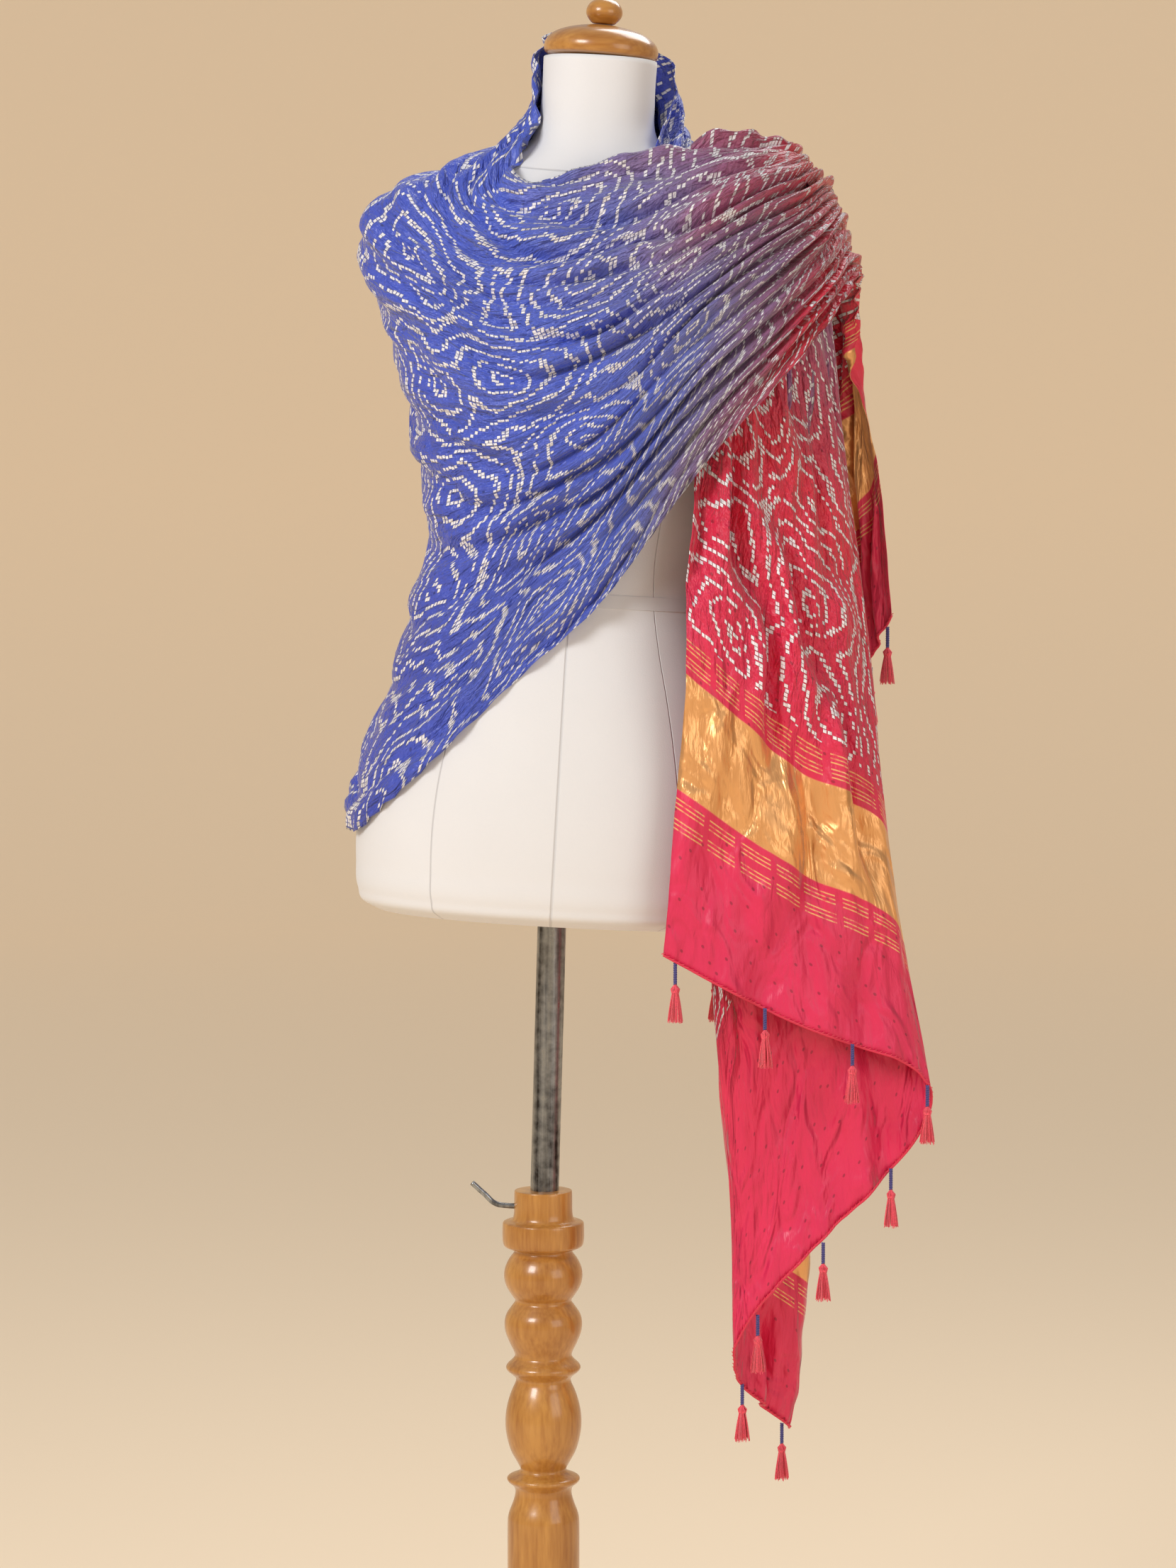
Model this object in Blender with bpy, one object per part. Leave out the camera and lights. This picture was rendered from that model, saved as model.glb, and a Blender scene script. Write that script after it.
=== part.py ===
"""Bandhani cloth draped on a dress form that stands on a turned wooden post.

Metres, +Z up. The origin lies on the floor under the middle of the base, +X is the viewer's right
and -Y is the front. The cloth is one rectangle. Its front end hangs from the shoulder at +X in three
overlapping folds. From there it runs behind the neck, round the other side, across the chest and over
the first shoulder again, and its back end hangs behind.
"""

import math

import bmesh
import bpy
import numpy as np
from mathutils import Matrix, Vector

GAP = 0.0003

# Dress form, in its own frame: it stands on FORM_FOOT and leans towards +X.
FORM_FOOT = (0.007, 0.0, 0.847)
FORM_LEAN = math.radians(3.3)
FORM_ROUNDNESS = 2.3
FORM_SIDES = 40
NECK_TOP = 0.712
BUST = {"height": 0.425, "apart": 28.0, "depth": 0.010, "tall": 0.050, "wide": 18.0}
# Rows are: height above the foot, half width, half depth.
FORM_RINGS = (
    (0.000, 0.146, 0.094),
    (0.005, 0.157, 0.105),
    (0.016, 0.163, 0.111),
    (0.040, 0.166, 0.114),
    (0.070, 0.167, 0.115),
    (0.110, 0.163, 0.113),
    (0.150, 0.153, 0.108),
    (0.190, 0.140, 0.101),
    (0.230, 0.125, 0.092),
    (0.267, 0.115, 0.086),
    (0.300, 0.113, 0.086),
    (0.340, 0.119, 0.091),
    (0.390, 0.129, 0.099),
    (0.440, 0.143, 0.105),
    (0.480, 0.158, 0.104),
    (0.515, 0.174, 0.098),
    (0.540, 0.184, 0.090),
    (0.565, 0.186, 0.081),
    (0.585, 0.174, 0.073),
    (0.600, 0.147, 0.068),
    (0.612, 0.113, 0.063),
    (0.625, 0.079, 0.057),
    (0.637, 0.059, 0.052),
    (0.652, 0.050, 0.048),
    (0.680, 0.047, 0.046),
    (NECK_TOP, 0.047, 0.047),
)

# Neck cap and knob, turned in wood. Rows are: radius, height above the neck's top.
CAP_TILT = math.radians(5.0)
CAP_PROFILE = (
    (0.0, 0.0270),
    (0.0100, 0.0268),
    (0.0240, 0.0246),
    (0.0370, 0.0205),
    (0.0445, 0.0150),
    (0.0475, 0.0095),
    (0.0475, 0.0040),
    (0.0455, 0.0),
    (0.0, 0.0),
)
KNOB_PROFILE = (
    (0.0, 0.0490),
    (0.0070, 0.0482),
    (0.0125, 0.0450),
    (0.0153, 0.0395),
    (0.0150, 0.0345),
    (0.0110, 0.0295),
    (0.0085, 0.0275),
    (0.0, 0.0275),
)

# Steel pole, from inside the post's collar to inside the form.
POLE_RADIUS = 0.012
POLE_LEAN = math.radians(1.6)
POLE_FOOT = 0.575
POLE_LENGTH = 0.330

# Clamp lever: a bent rod that goes into the collar from the left. Points are: x, z.
LEVER_RADIUS = 0.0023
LEVER_HEIGHT = 0.6015
LEVER_ROUTE = (
    (-0.060, 0.621),
    (-0.049, 0.611),
    (-0.0405, 0.6035),
    (-0.030, LEVER_HEIGHT),
    (-0.0135, LEVER_HEIGHT),
)

# Turned post. Rows are: radius, height above the floor.
POST_FOOT = 0.0450
POST_PROFILE = (
    (0.0, 0.6150),
    (0.0235, 0.6150),
    (0.0245, 0.6140),
    (0.0245, 0.5895),
    (0.0335, 0.5885),
    (0.0345, 0.5860),
    (0.0345, 0.5700),
    (0.0320, 0.5665),
    (0.0250, 0.5650),
    (0.0240, 0.5625),
    (0.0295, 0.5560),
    (0.0335, 0.5460),
    (0.0325, 0.5350),
    (0.0265, 0.5255),
    (0.0230, 0.5210),
    (0.0265, 0.5165),
    (0.0325, 0.5080),
    (0.0330, 0.4960),
    (0.0280, 0.4840),
    (0.0235, 0.4755),
    (0.0250, 0.4715),
    (0.0315, 0.4660),
    (0.0315, 0.4620),
    (0.0245, 0.4570),
    (0.0225, 0.4530),
    (0.0275, 0.4430),
    (0.0318, 0.4280),
    (0.0325, 0.4120),
    (0.0285, 0.3940),
    (0.0215, 0.3820),
    (0.0185, 0.3760),
    (0.0240, 0.3730),
    (0.0308, 0.3705),
    (0.0308, 0.3670),
    (0.0245, 0.3625),
    (0.0235, 0.3570),
    (0.0255, 0.3490),
    (0.0300, 0.3380),
    (0.0305, 0.3300),
    (0.0305, 0.1500),
    (0.0260, 0.1420),
    (0.0330, 0.1300),
    (0.0420, 0.1050),
    (0.0420, 0.0850),
    (0.0330, 0.0700),
    (0.0380, 0.0600),
    (0.0600, 0.0520),
    (0.0620, POST_FOOT),
    (0.0, POST_FOOT),
)
BASE_PROFILE = (
    (0.0, POST_FOOT - GAP),
    (0.1250, POST_FOOT - GAP),
    (0.1350, 0.0400),
    (0.1400, 0.0330),
    (0.1900, 0.0290),
    (0.2050, 0.0220),
    (0.2100, 0.0140),
    (0.2100, 0.0030),
    (0.2070, 0.0),
    (0.0, 0.0),
)

# Cloth: one sheet. Its lower selvedge is at share 0 of the width and its upper selvedge at share 1.
CLOTH_THICKNESS = 0.0012
CLOTH_ROWS = 84
# Rows lie closer where the front folds open out over the shoulder.
ROW_CROWDING = {"share": 0.355, "spread": 0.045, "more": 2.0}
# Columns between the lower selvedge, the two folds and the upper selvedge, closer near the folds.
CLOTH_COLUMNS = (9, 9, 7)
FOLD_SHARES = (0.38, 0.76)
FOLD_CROWDING = 0.72
SECTION_SAMPLES = 240
# Spread of the smoothing that rounds the folds, as a length along the section.
FOLD_ROUNDING = 0.018
FOLD_SOFTENING = 4
NORMAL_SOFTENING = 2
# Share of the length that hangs in folds in front.
FRONT_SHARE = 0.30

# Front end, from its hem up to the shoulder. A row is a section: lower selvedge, right fold, left fold
# and upper selvedge, each as x, y, z.
FRONT_END = (
    ((0.099, -0.125, 0.827), (0.325, -0.050, 0.704), (0.163, -0.035, 0.491), (0.212, 0.060, 0.398)),
    ((0.105, -0.127, 0.915), (0.308, -0.046, 0.800), (0.160, -0.050, 0.610), (0.222, 0.035, 0.495)),
    ((0.115, -0.128, 1.022), (0.286, -0.040, 0.933), (0.148, -0.068, 0.745), (0.224, 0.014, 0.600)),
    ((0.117, -0.126, 1.088), (0.276, -0.034, 1.053), (0.138, -0.086, 0.865), (0.226, -0.004, 0.760)),
    ((0.120, -0.117, 1.157), (0.266, -0.030, 1.155), (0.150, -0.088, 1.010), (0.228, -0.018, 0.955)),
    ((0.127, -0.108, 1.223), (0.256, -0.028, 1.239), (0.160, -0.076, 1.142), (0.220, -0.026, 1.110)),
    ((0.130, -0.105, 1.305), (0.246, -0.034, 1.322), (0.168, -0.081, 1.258), (0.198, -0.047, 1.250)),
    ((0.117, -0.103, 1.396), (0.237, -0.036, 1.392), (0.165, -0.080, 1.385), (0.128, -0.096, 1.385)),
)
FRONT_BULGE = (0.020, 0.022, 0.022, 0.022, 0.020, 0.020, 0.020, 0.016)
# Over the shoulder: the folds open out, the upper selvedge towards the neck and the lower one outwards.
FIRST_SHOULDER = (
    ((0.156, -0.085, 1.446), (0.233, -0.034, 1.424), (0.158, -0.064, 1.434), (0.108, -0.076, 1.438)),
    ((0.194, -0.046, 1.462), (0.229, -0.022, 1.428), (0.155, -0.032, 1.461), (0.093, -0.047, 1.478)),
    ((0.221, -0.010, 1.452), (0.207, -0.004, 1.436), (0.148, -0.010, 1.469), (0.094, -0.028, 1.492)),
    ((0.233, 0.018, 1.410), (0.194, 0.014, 1.448), (0.141, 0.012, 1.474), (0.099, -0.002, 1.512)),
    ((0.226, 0.052, 1.382), (0.186, 0.050, 1.438), (0.134, 0.044, 1.476), (0.101, 0.024, 1.545)),
)
# Round the form. Rows are: turn and height of the lower selvedge, turn and height of the upper
# selvedge, lift off the form. Turns are degrees from +X, over the back to the front.
WRAP = (
    (52.0, 0.480, 62.0, 0.734, 0.013),
    (74.0, 0.408, 84.0, 0.740, 0.010),
    (98.0, 0.325, 107.0, 0.742, 0.009),
    (125.0, 0.235, 132.0, 0.738, 0.008),
    (158.0, 0.130, 156.0, 0.725, 0.007),
    (188.0, 0.064, 180.0, 0.706, 0.0050),
    (212.0, 0.085, 200.0, 0.676, 0.0049),
    (232.0, 0.125, 220.0, 0.640, 0.0050),
    (248.0, 0.175, 238.0, 0.612, 0.0046),
    (264.0, 0.222, 253.0, 0.600, 0.010),
    (280.0, 0.262, 268.0, 0.610, 0.015),
    (292.0, 0.306, 279.0, 0.620, 0.020),
)
# Across the chest to the shoulder, over the front end. Columns as in FRONT_END.
CROSSING = (
    ((0.135, -0.136, 1.238), (0.111, -0.147, 1.319), (0.093, -0.124, 1.401), (0.083, -0.070, 1.474)),
    ((0.169, -0.138, 1.263), (0.147, -0.145, 1.345), (0.129, -0.126, 1.420), (0.115, -0.060, 1.487)),
    ((0.199, -0.128, 1.301), (0.184, -0.126, 1.377), (0.168, -0.104, 1.446), (0.150, -0.042, 1.492)),
    ((0.232, -0.100, 1.340), (0.220, -0.092, 1.404), (0.202, -0.064, 1.458), (0.177, -0.014, 1.492)),
    ((0.258, -0.030, 1.380), (0.247, -0.010, 1.434), (0.228, 0.006, 1.470), (0.203, 0.018, 1.488)),
)
# Down behind, over the part that runs round the form.
BACK_END = (
    ((0.260, 0.024, 1.357), (0.248, 0.054, 1.412), (0.225, 0.070, 1.446), (0.190, 0.078, 1.468)),
    ((0.268, 0.048, 1.299), (0.250, 0.088, 1.325), (0.215, 0.108, 1.338), (0.165, 0.118, 1.352)),
    ((0.284, 0.052, 1.213), (0.255, 0.104, 1.170), (0.208, 0.134, 1.125), (0.152, 0.134, 1.085)),
    ((0.295, 0.058, 1.097), (0.252, 0.114, 0.997), (0.200, 0.146, 0.888), (0.142, 0.136, 0.779)),
)
NECK_BRIDGE = {"height": 0.640, "tall": 0.024, "lift": 0.010}
HIP_BRIDGE = {"height": 0.255, "tall": 0.030, "lift": 0.010}

# Soft folds along the cloth. Rows are: share of the length, depth, folds across the width.
PLEATS = (
    (0.00, 0.0040, 5.0),
    (0.18, 0.0035, 5.0),
    (0.27, 0.0008, 6.0),
    (0.36, 0.0008, 7.0),
    (0.50, 0.0020, 7.0),
    (0.64, 0.0030, 7.0),
    (0.76, 0.0040, 7.0),
    (0.84, 0.0020, 7.0),
    (1.00, 0.0040, 6.0),
)

# Tassels: a blue wrapped cord and a coral tassel at even steps along each hem.
TASSELS_PER_END = 9
TASSEL_MARGIN = 0.012
TASSEL_CORD = {"radius": 0.0016, "length": 0.017}
TASSEL_HEAD = ((0.0022, 0.0), (0.0040, 0.0030), (0.0026, 0.0068), (0.0042, 0.0090))
TASSEL_STRANDS = 7
TASSEL_LENGTH = 0.031
TASSEL_SPREAD = 1.75


def material(name, colour, roughness, metallic=0.0):
    made = bpy.data.materials.new(name)
    made.use_nodes = True
    shader = made.node_tree.nodes["Principled BSDF"]
    shader.inputs["Base Color"].default_value = (*colour, 1.0)
    shader.inputs["Roughness"].default_value = roughness
    shader.inputs["Metallic"].default_value = metallic
    return made


def add_object(name, mesh, finish):
    made = bpy.data.objects.new(name, mesh)
    bpy.context.scene.collection.objects.link(made)
    made.data.materials.append(finish)
    return made


def mesh_of(name, points, faces):
    mesh = bpy.data.meshes.new(name)
    mesh.from_pydata([tuple(map(float, point)) for point in points], [], faces)
    mesh.shade_smooth()
    mesh.set_sharp_from_angle(angle=math.radians(40))
    return mesh


def turned(name, profile, finish, steps=32):
    """A piece turned on the Z axis, from its outline (radius, height), top to bottom."""
    made = add_object(name, mesh_of(name, [(r, 0.0, z) for r, z in profile], []), finish)
    made.data.edges.add(len(profile) - 1)
    for edge in range(len(profile) - 1):
        made.data.edges[edge].vertices = (edge, edge + 1)
    screw = made.modifiers.new("Turn", "SCREW")
    screw.steps = screw.render_steps = steps
    screw.use_merge_vertices = True
    screw.merge_threshold = 0.00001
    return made


def cut(target, cutter):
    """Takes the cutter's shape out of the target. The cutter stays as a guide."""
    cutter.hide_render = True
    cutter.display_type = "WIRE"
    hole = target.modifiers.new(cutter.name, "BOOLEAN")
    hole.operation = "DIFFERENCE"
    hole.object = cutter


def along(table, keys):
    """Rows of a table (key, values...) read off a smooth curve at each key."""
    rows = np.array(table, float)
    return hermite(rows[:, 0], rows[:, 1:], np.atleast_1d(keys))


def hermite(knots, values, keys):
    """A smooth curve through the values at the knots, read at the keys."""
    knots, values, keys = np.asarray(knots, float), np.asarray(values, float), np.asarray(keys, float)
    steps = np.diff(knots).reshape(-1, *[1] * (values.ndim - 1))
    slopes = np.diff(values, axis=0) / steps
    tangents = np.empty_like(values)
    tangents[0], tangents[-1] = slopes[0], slopes[-1]
    tangents[1:-1] = (slopes[:-1] * steps[1:] + slopes[1:] * steps[:-1]) / (steps[:-1] + steps[1:])
    cell = np.clip(np.searchsorted(knots, keys, side="right") - 1, 0, len(knots) - 2)
    step = steps[cell]
    u = ((keys - knots[cell]).reshape(-1, *[1] * (values.ndim - 1))) / step
    return (
        (1 + 2 * u) * (1 - u) ** 2 * values[cell]
        + u * (1 - u) ** 2 * step * tangents[cell]
        + u * u * (3 - 2 * u) * values[cell + 1]
        + u * u * (u - 1) * step * tangents[cell + 1]
    )


def bump(value, middle, spread):
    return np.exp(-(((value - middle) / spread) ** 2))


def form_point(turn, height):
    """A point of the dress form's surface in its own frame. Turn is in degrees from +X, over the back."""
    turn, height = np.broadcast_arrays(np.asarray(turn, float), np.asarray(height, float))
    half = along(FORM_RINGS, np.clip(height, 0.0, NECK_TOP).ravel()).reshape(*height.shape, 2)
    power = 2.0 / FORM_ROUNDNESS
    across, back = np.cos(np.radians(turn)), np.sin(np.radians(turn))
    x = half[..., 0] * np.sign(across) * np.abs(across) ** power
    y = half[..., 1] * np.sign(back) * np.abs(back) ** power
    for side in (-1, 1):
        wide = bump(turn, 270.0 + side * BUST["apart"], BUST["wide"])
        y = y - BUST["depth"] * wide * bump(height, BUST["height"], BUST["tall"])
    return np.stack([x, y, height], axis=-1)


def lean(points):
    """Carries points from the form's own frame to the world."""
    x, y, height = np.moveaxis(np.asarray(points, float), -1, 0)
    return np.stack(
        [
            FORM_FOOT[0] + x * math.cos(FORM_LEAN) + height * math.sin(FORM_LEAN),
            FORM_FOOT[1] + y,
            FORM_FOOT[2] - x * math.sin(FORM_LEAN) + height * math.cos(FORM_LEAN),
        ],
        axis=-1,
    )


def over_form(turn, height, lift):
    """A world point lifted off the form's surface along its normal."""
    nudge = 0.5
    rise = 0.001
    low, high = form_point(turn, height - rise), form_point(turn, height + rise)
    upward = high - low
    round_way = form_point(turn + nudge, height) - form_point(turn - nudge, height)
    normal = np.cross(round_way, upward)
    normal /= np.linalg.norm(normal, axis=-1, keepdims=True)
    return lean(form_point(turn, height) + normal * np.asarray(lift)[..., None])


def build_form(cotton):
    turns = np.arange(FORM_SIDES) * 360.0 / FORM_SIDES
    rings = [lean(form_point(turns, height)) for height, _, _ in FORM_RINGS]
    points = np.concatenate(rings)
    faces = []
    for ring in range(len(rings) - 1):
        for side in range(FORM_SIDES):
            here, after = ring * FORM_SIDES + side, ring * FORM_SIDES + (side + 1) % FORM_SIDES
            faces.append((here, after, after + FORM_SIDES, here + FORM_SIDES))
    last = (len(rings) - 1) * FORM_SIDES
    faces.append(tuple(reversed(range(FORM_SIDES))))
    faces.append(tuple(range(last, last + FORM_SIDES)))
    return add_object("dress_form", mesh_of("dress_form", points, faces), cotton)


def bar(name, radius, foot, angle, length, finish):
    """A round bar that starts at its foot and leans from +Z towards +X by the angle."""
    bpy.ops.mesh.primitive_cylinder_add(vertices=24, radius=radius, depth=length)
    made = bpy.context.object
    made.name = made.data.name = name
    turn = Matrix.Rotation(angle, 4, "Y")
    middle = turn @ Vector((0.0, 0.0, length / 2))
    made.matrix_world = Matrix.Translation(Vector(foot) + middle) @ turn
    made.data.materials.append(finish)
    made.data.shade_smooth()
    made.data.set_sharp_from_angle(angle=math.radians(40))
    return made


def build_lever(finish):
    line = bpy.data.curves.new("clamp_lever", "CURVE")
    line.dimensions = "3D"
    line.bevel_depth = LEVER_RADIUS
    line.bevel_resolution = 2
    line.use_fill_caps = True
    spline = line.splines.new("POLY")
    spline.points.add(len(LEVER_ROUTE) - 1)
    for point, (x, z) in zip(spline.points, LEVER_ROUTE):
        point.co = (x, 0.0, z, 1.0)
    made = bpy.data.objects.new("clamp_lever", line)
    bpy.context.scene.collection.objects.link(made)
    made.data.materials.append(finish)


def build_stand(wood, steel):
    """Cap, knob, pole, clamp lever, turned post and base."""
    tilt = Matrix.Rotation(CAP_TILT, 4, "Y")
    top = Vector(lean((0.0, 0.0, NECK_TOP)))
    clear = Matrix.Translation((0.0, 0.0, GAP + math.sin(CAP_TILT - FORM_LEAN) * FORM_RINGS[-1][1]))
    for name, profile in (("neck_cap", CAP_PROFILE), ("cap_knob", KNOB_PROFILE)):
        piece = turned(name, profile, wood, 24)
        piece.matrix_world = Matrix.Translation(top) @ clear @ tilt
    post = turned("post", POST_PROFILE, wood, 20)
    turned("base", BASE_PROFILE, wood, 40)
    form = bpy.data.objects["dress_form"]
    foot = (0.0, 0.0, POLE_FOOT)
    bar("pole", POLE_RADIUS, foot, POLE_LEAN, POLE_LENGTH, steel)
    pole_room = bar("pole_room", POLE_RADIUS + GAP, foot, POLE_LEAN, POLE_LENGTH, steel)
    build_lever(steel)
    socket = (LEVER_ROUTE[0][0], 0.0, LEVER_HEIGHT)
    lever_room = bar("lever_room", LEVER_RADIUS + GAP, socket, math.pi / 2, -LEVER_ROUTE[0][0], steel)
    for target in (form, post):
        cut(target, pole_room)
    cut(post, lever_room)


def column_shares(columns):
    """Shares of the width at the grid's columns. They crowd together at the two folds."""
    stops = (0.0, *FOLD_SHARES, 1.0)
    shares = [0.0]
    for number, (start, stop, count) in enumerate(zip(stops, stops[1:], columns)):
        u = np.arange(1, count + 1) / count
        at_start, at_stop = number > 0, number < len(columns) - 1
        ease = u.copy()
        if at_start and at_stop:
            ease = (1 - np.cos(np.pi * u)) / 2
        elif at_stop:
            ease = np.sin(np.pi / 2 * u)
        elif at_start:
            ease = 1 - np.cos(np.pi / 2 * u)
        shares += list(start + (stop - start) * (FOLD_CROWDING * ease + (1 - FOLD_CROWDING) * u))
    return np.array(shares)


def read_off(points, shares):
    """Points of a line at shares of its length."""
    run = np.concatenate([[0.0], np.cumsum(np.linalg.norm(np.diff(points, axis=0), axis=1))])
    return np.stack([np.interp(shares * run[-1], run, points[:, axis]) for axis in range(3)], axis=1)


def free_section(row, shares, bulge=0.0):
    """A section through the row's points, with its folds rounded and its columns kept to the folds."""
    corners = np.array(row)
    middle = (corners[0] + corners[1]) / 2 - (0.0, bulge, 0.0)
    corners = np.insert(corners, 1, middle, axis=0)
    away = corners[2:4] - (corners[[0, 2]] + corners[[3, 4]]) / 2
    corners[2:4] += away / np.linalg.norm(away, axis=1, keepdims=True) * min(bulge, FOLD_ROUNDING) / 2
    run = np.concatenate([[0.0], np.cumsum(np.sqrt(np.linalg.norm(np.diff(corners, axis=0), axis=1)))])
    even = np.linspace(0.0, 1.0, SECTION_SAMPLES)
    line = read_off(hermite(run, corners, even * run[-1]), even)
    folds = [int(np.argmin(np.linalg.norm(line - corner, axis=1))) for corner in corners[2:4]]
    step = np.linalg.norm(line[1] - line[0])
    for _ in range(int(2 * (FOLD_ROUNDING / step) ** 2)):
        line[1:-1] = (line[:-2] + 2 * line[1:-1] + line[2:]) / 4
    own_folds = np.array(folds) / (SECTION_SAMPLES - 1)
    return read_off(line, np.interp(shares, (0.0, *FOLD_SHARES, 1.0), (0.0, *own_folds, 1.0)))


def wrap_section(row, shares):
    """A section that lies on the form, from the lower selvedge to the upper one."""
    even = np.linspace(0.0, 1.0, SECTION_SAMPLES)
    low_turn, low_height, up_turn, up_height, lift = row
    turn = low_turn + (up_turn - low_turn) * even
    height = low_height + (up_height - low_height) * even
    lift = lift + NECK_BRIDGE["lift"] * bump(height, NECK_BRIDGE["height"], NECK_BRIDGE["tall"])
    side = bump(turn, 190.0, 30.0)
    lift = lift + HIP_BRIDGE["lift"] * side * bump(height, HIP_BRIDGE["height"], HIP_BRIDGE["tall"])
    return read_off(over_form(turn, height, lift), shares)


def cloth_middle(rows, columns):
    """The cloth's middle surface as a grid of points."""
    shares = column_shares(columns)
    halves = np.arange(0.0, len(WRAP) - 0.99, 0.5)
    wrap = hermite(np.arange(len(WRAP)), np.array(WRAP), halves)
    sections = [free_section(row, shares, bulge) for row, bulge in zip(FRONT_END, FRONT_BULGE)]
    sections += [free_section(row, shares) for row in FIRST_SHOULDER]
    sections += [wrap_section(row, shares) for row in wrap]
    sections += [free_section(row, shares) for row in CROSSING + BACK_END]
    sections = np.array(sections)
    steps = np.linalg.norm(np.diff(sections, axis=0), axis=2).mean(axis=1)
    knots = np.concatenate([[0.0], np.cumsum(steps)])
    even = np.linspace(0.0, 1.0, SECTION_SAMPLES)
    crowd = 1.0 + ROW_CROWDING["more"] * bump(even, ROW_CROWDING["share"], ROW_CROWDING["spread"])
    crowd = np.cumsum(crowd) - crowd[0]
    crowd /= crowd[-1]
    lengths = np.interp(np.linspace(0.0, 1.0, rows + 1), crowd, even)
    grid = hermite(knots, sections, lengths * knots[-1])
    soften = 0.5 / (1.0 + np.exp((lengths - FRONT_SHARE) / 0.01))[:, None, None]
    for _ in range(FOLD_SOFTENING):
        grid[:, 1:-1] += soften * ((grid[:, :-2] + grid[:, 2:]) / 2 - grid[:, 1:-1])
    normals = grid_normals(grid)
    pleat = along(PLEATS, lengths)
    wave = np.cos(2 * np.pi * (pleat[:, 1:2] * shares[None, :] + 0.15 * np.sin(9.0 * lengths)[:, None]))
    folded = 1.0 / (1.0 + np.exp((lengths - 0.36) / 0.02))
    wave *= 1.0 - np.outer(folded, sum(bump(shares, fold, 0.09) for fold in FOLD_SHARES))
    return grid + normals * (pleat[:, 0:1] * wave)[..., None]


def grid_normals(grid):
    """Normals of a grid of points, pointing to the cloth's outer side."""
    normals = np.cross(np.gradient(grid, axis=0), np.gradient(grid, axis=1))
    return normals / np.linalg.norm(normals, axis=2, keepdims=True)


def softened(normals):
    """Normals averaged with their neighbours', so that the two faces don't cross in a tight fold."""
    for _ in range(NORMAL_SOFTENING):
        for axis in (0, 1):
            spread = np.moveaxis(normals, axis, 0)
            spread[1:-1] = (spread[:-2] + 2 * spread[1:-1] + spread[2:]) / 4
    return normals


def build_cloth(silk):
    grid = cloth_middle(CLOTH_ROWS, CLOTH_COLUMNS)
    normals = softened(grid_normals(grid))
    high, wide = grid.shape[:2]
    outer = (grid + normals * CLOTH_THICKNESS / 2).reshape(-1, 3)
    inner = (grid - normals * CLOTH_THICKNESS / 2).reshape(-1, 3)
    count = len(outer)
    index = np.arange(count).reshape(high, wide)
    faces = []
    corners = (index[:-1, :-1], index[1:, :-1], index[1:, 1:], index[:-1, 1:])
    for a, b, c, d in zip(*(corner.ravel() for corner in corners)):
        faces += [(a, b, c), (a, c, d)]
        faces += [(c + count, b + count, a + count), (d + count, c + count, a + count)]
    border = [*index[0, :], *index[1:, -1], *index[-1, -2::-1], *index[-2:0:-1, 0]]
    for here, after in zip(border, border[1:] + border[:1]):
        faces.append((here, after, after + count, here + count))
    faces = [tuple(int(corner) for corner in face) for face in faces]
    add_object("bandhani_cloth", mesh_of("bandhani_cloth", np.concatenate([outer, inner]), faces), silk)
    return grid


def tassel_mesh():
    """Head with strands: each wedge of the head's underside is drawn out into one strand."""
    body = bmesh.new()
    rings = []
    for radius, down in TASSEL_HEAD:
        turns = [2 * math.pi * side / TASSEL_STRANDS for side in range(TASSEL_STRANDS)]
        rings.append([body.verts.new((radius * math.cos(a), radius * math.sin(a), -down)) for a in turns])
    body.faces.new(rings[0])
    for upper, lower in zip(rings, rings[1:]):
        for side in range(TASSEL_STRANDS):
            after = (side + 1) % TASSEL_STRANDS
            body.faces.new((upper[side], lower[side], lower[after], upper[after]))
    hub = body.verts.new((0.0, 0.0, -TASSEL_HEAD[-1][1]))
    wedges = []
    for side in range(TASSEL_STRANDS):
        after = (side + 1) % TASSEL_STRANDS
        wedges.append(body.faces.new((rings[-1][after], rings[-1][side], hub)))
    bmesh.ops.inset_individual(body, faces=wedges, thickness=0.0002)
    drop = TASSEL_LENGTH - TASSEL_HEAD[-1][1]
    for number, wedge in enumerate(wedges):
        root = wedge.calc_center_median()
        end = bmesh.ops.extrude_discrete_faces(body, faces=[wedge])["faces"][0]
        length = drop * (1.0 - 0.06 * (number % 3))
        for corner in end.verts:
            corner.co.x = root.x * TASSEL_SPREAD + (corner.co.x - root.x) * 0.9
            corner.co.y = root.y * TASSEL_SPREAD + (corner.co.y - root.y) * 0.9
            corner.co.z -= length
    bmesh.ops.recalc_face_normals(body, faces=body.faces)
    mesh = bpy.data.meshes.new("tassel")
    body.to_mesh(mesh)
    body.free()
    return mesh


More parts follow.
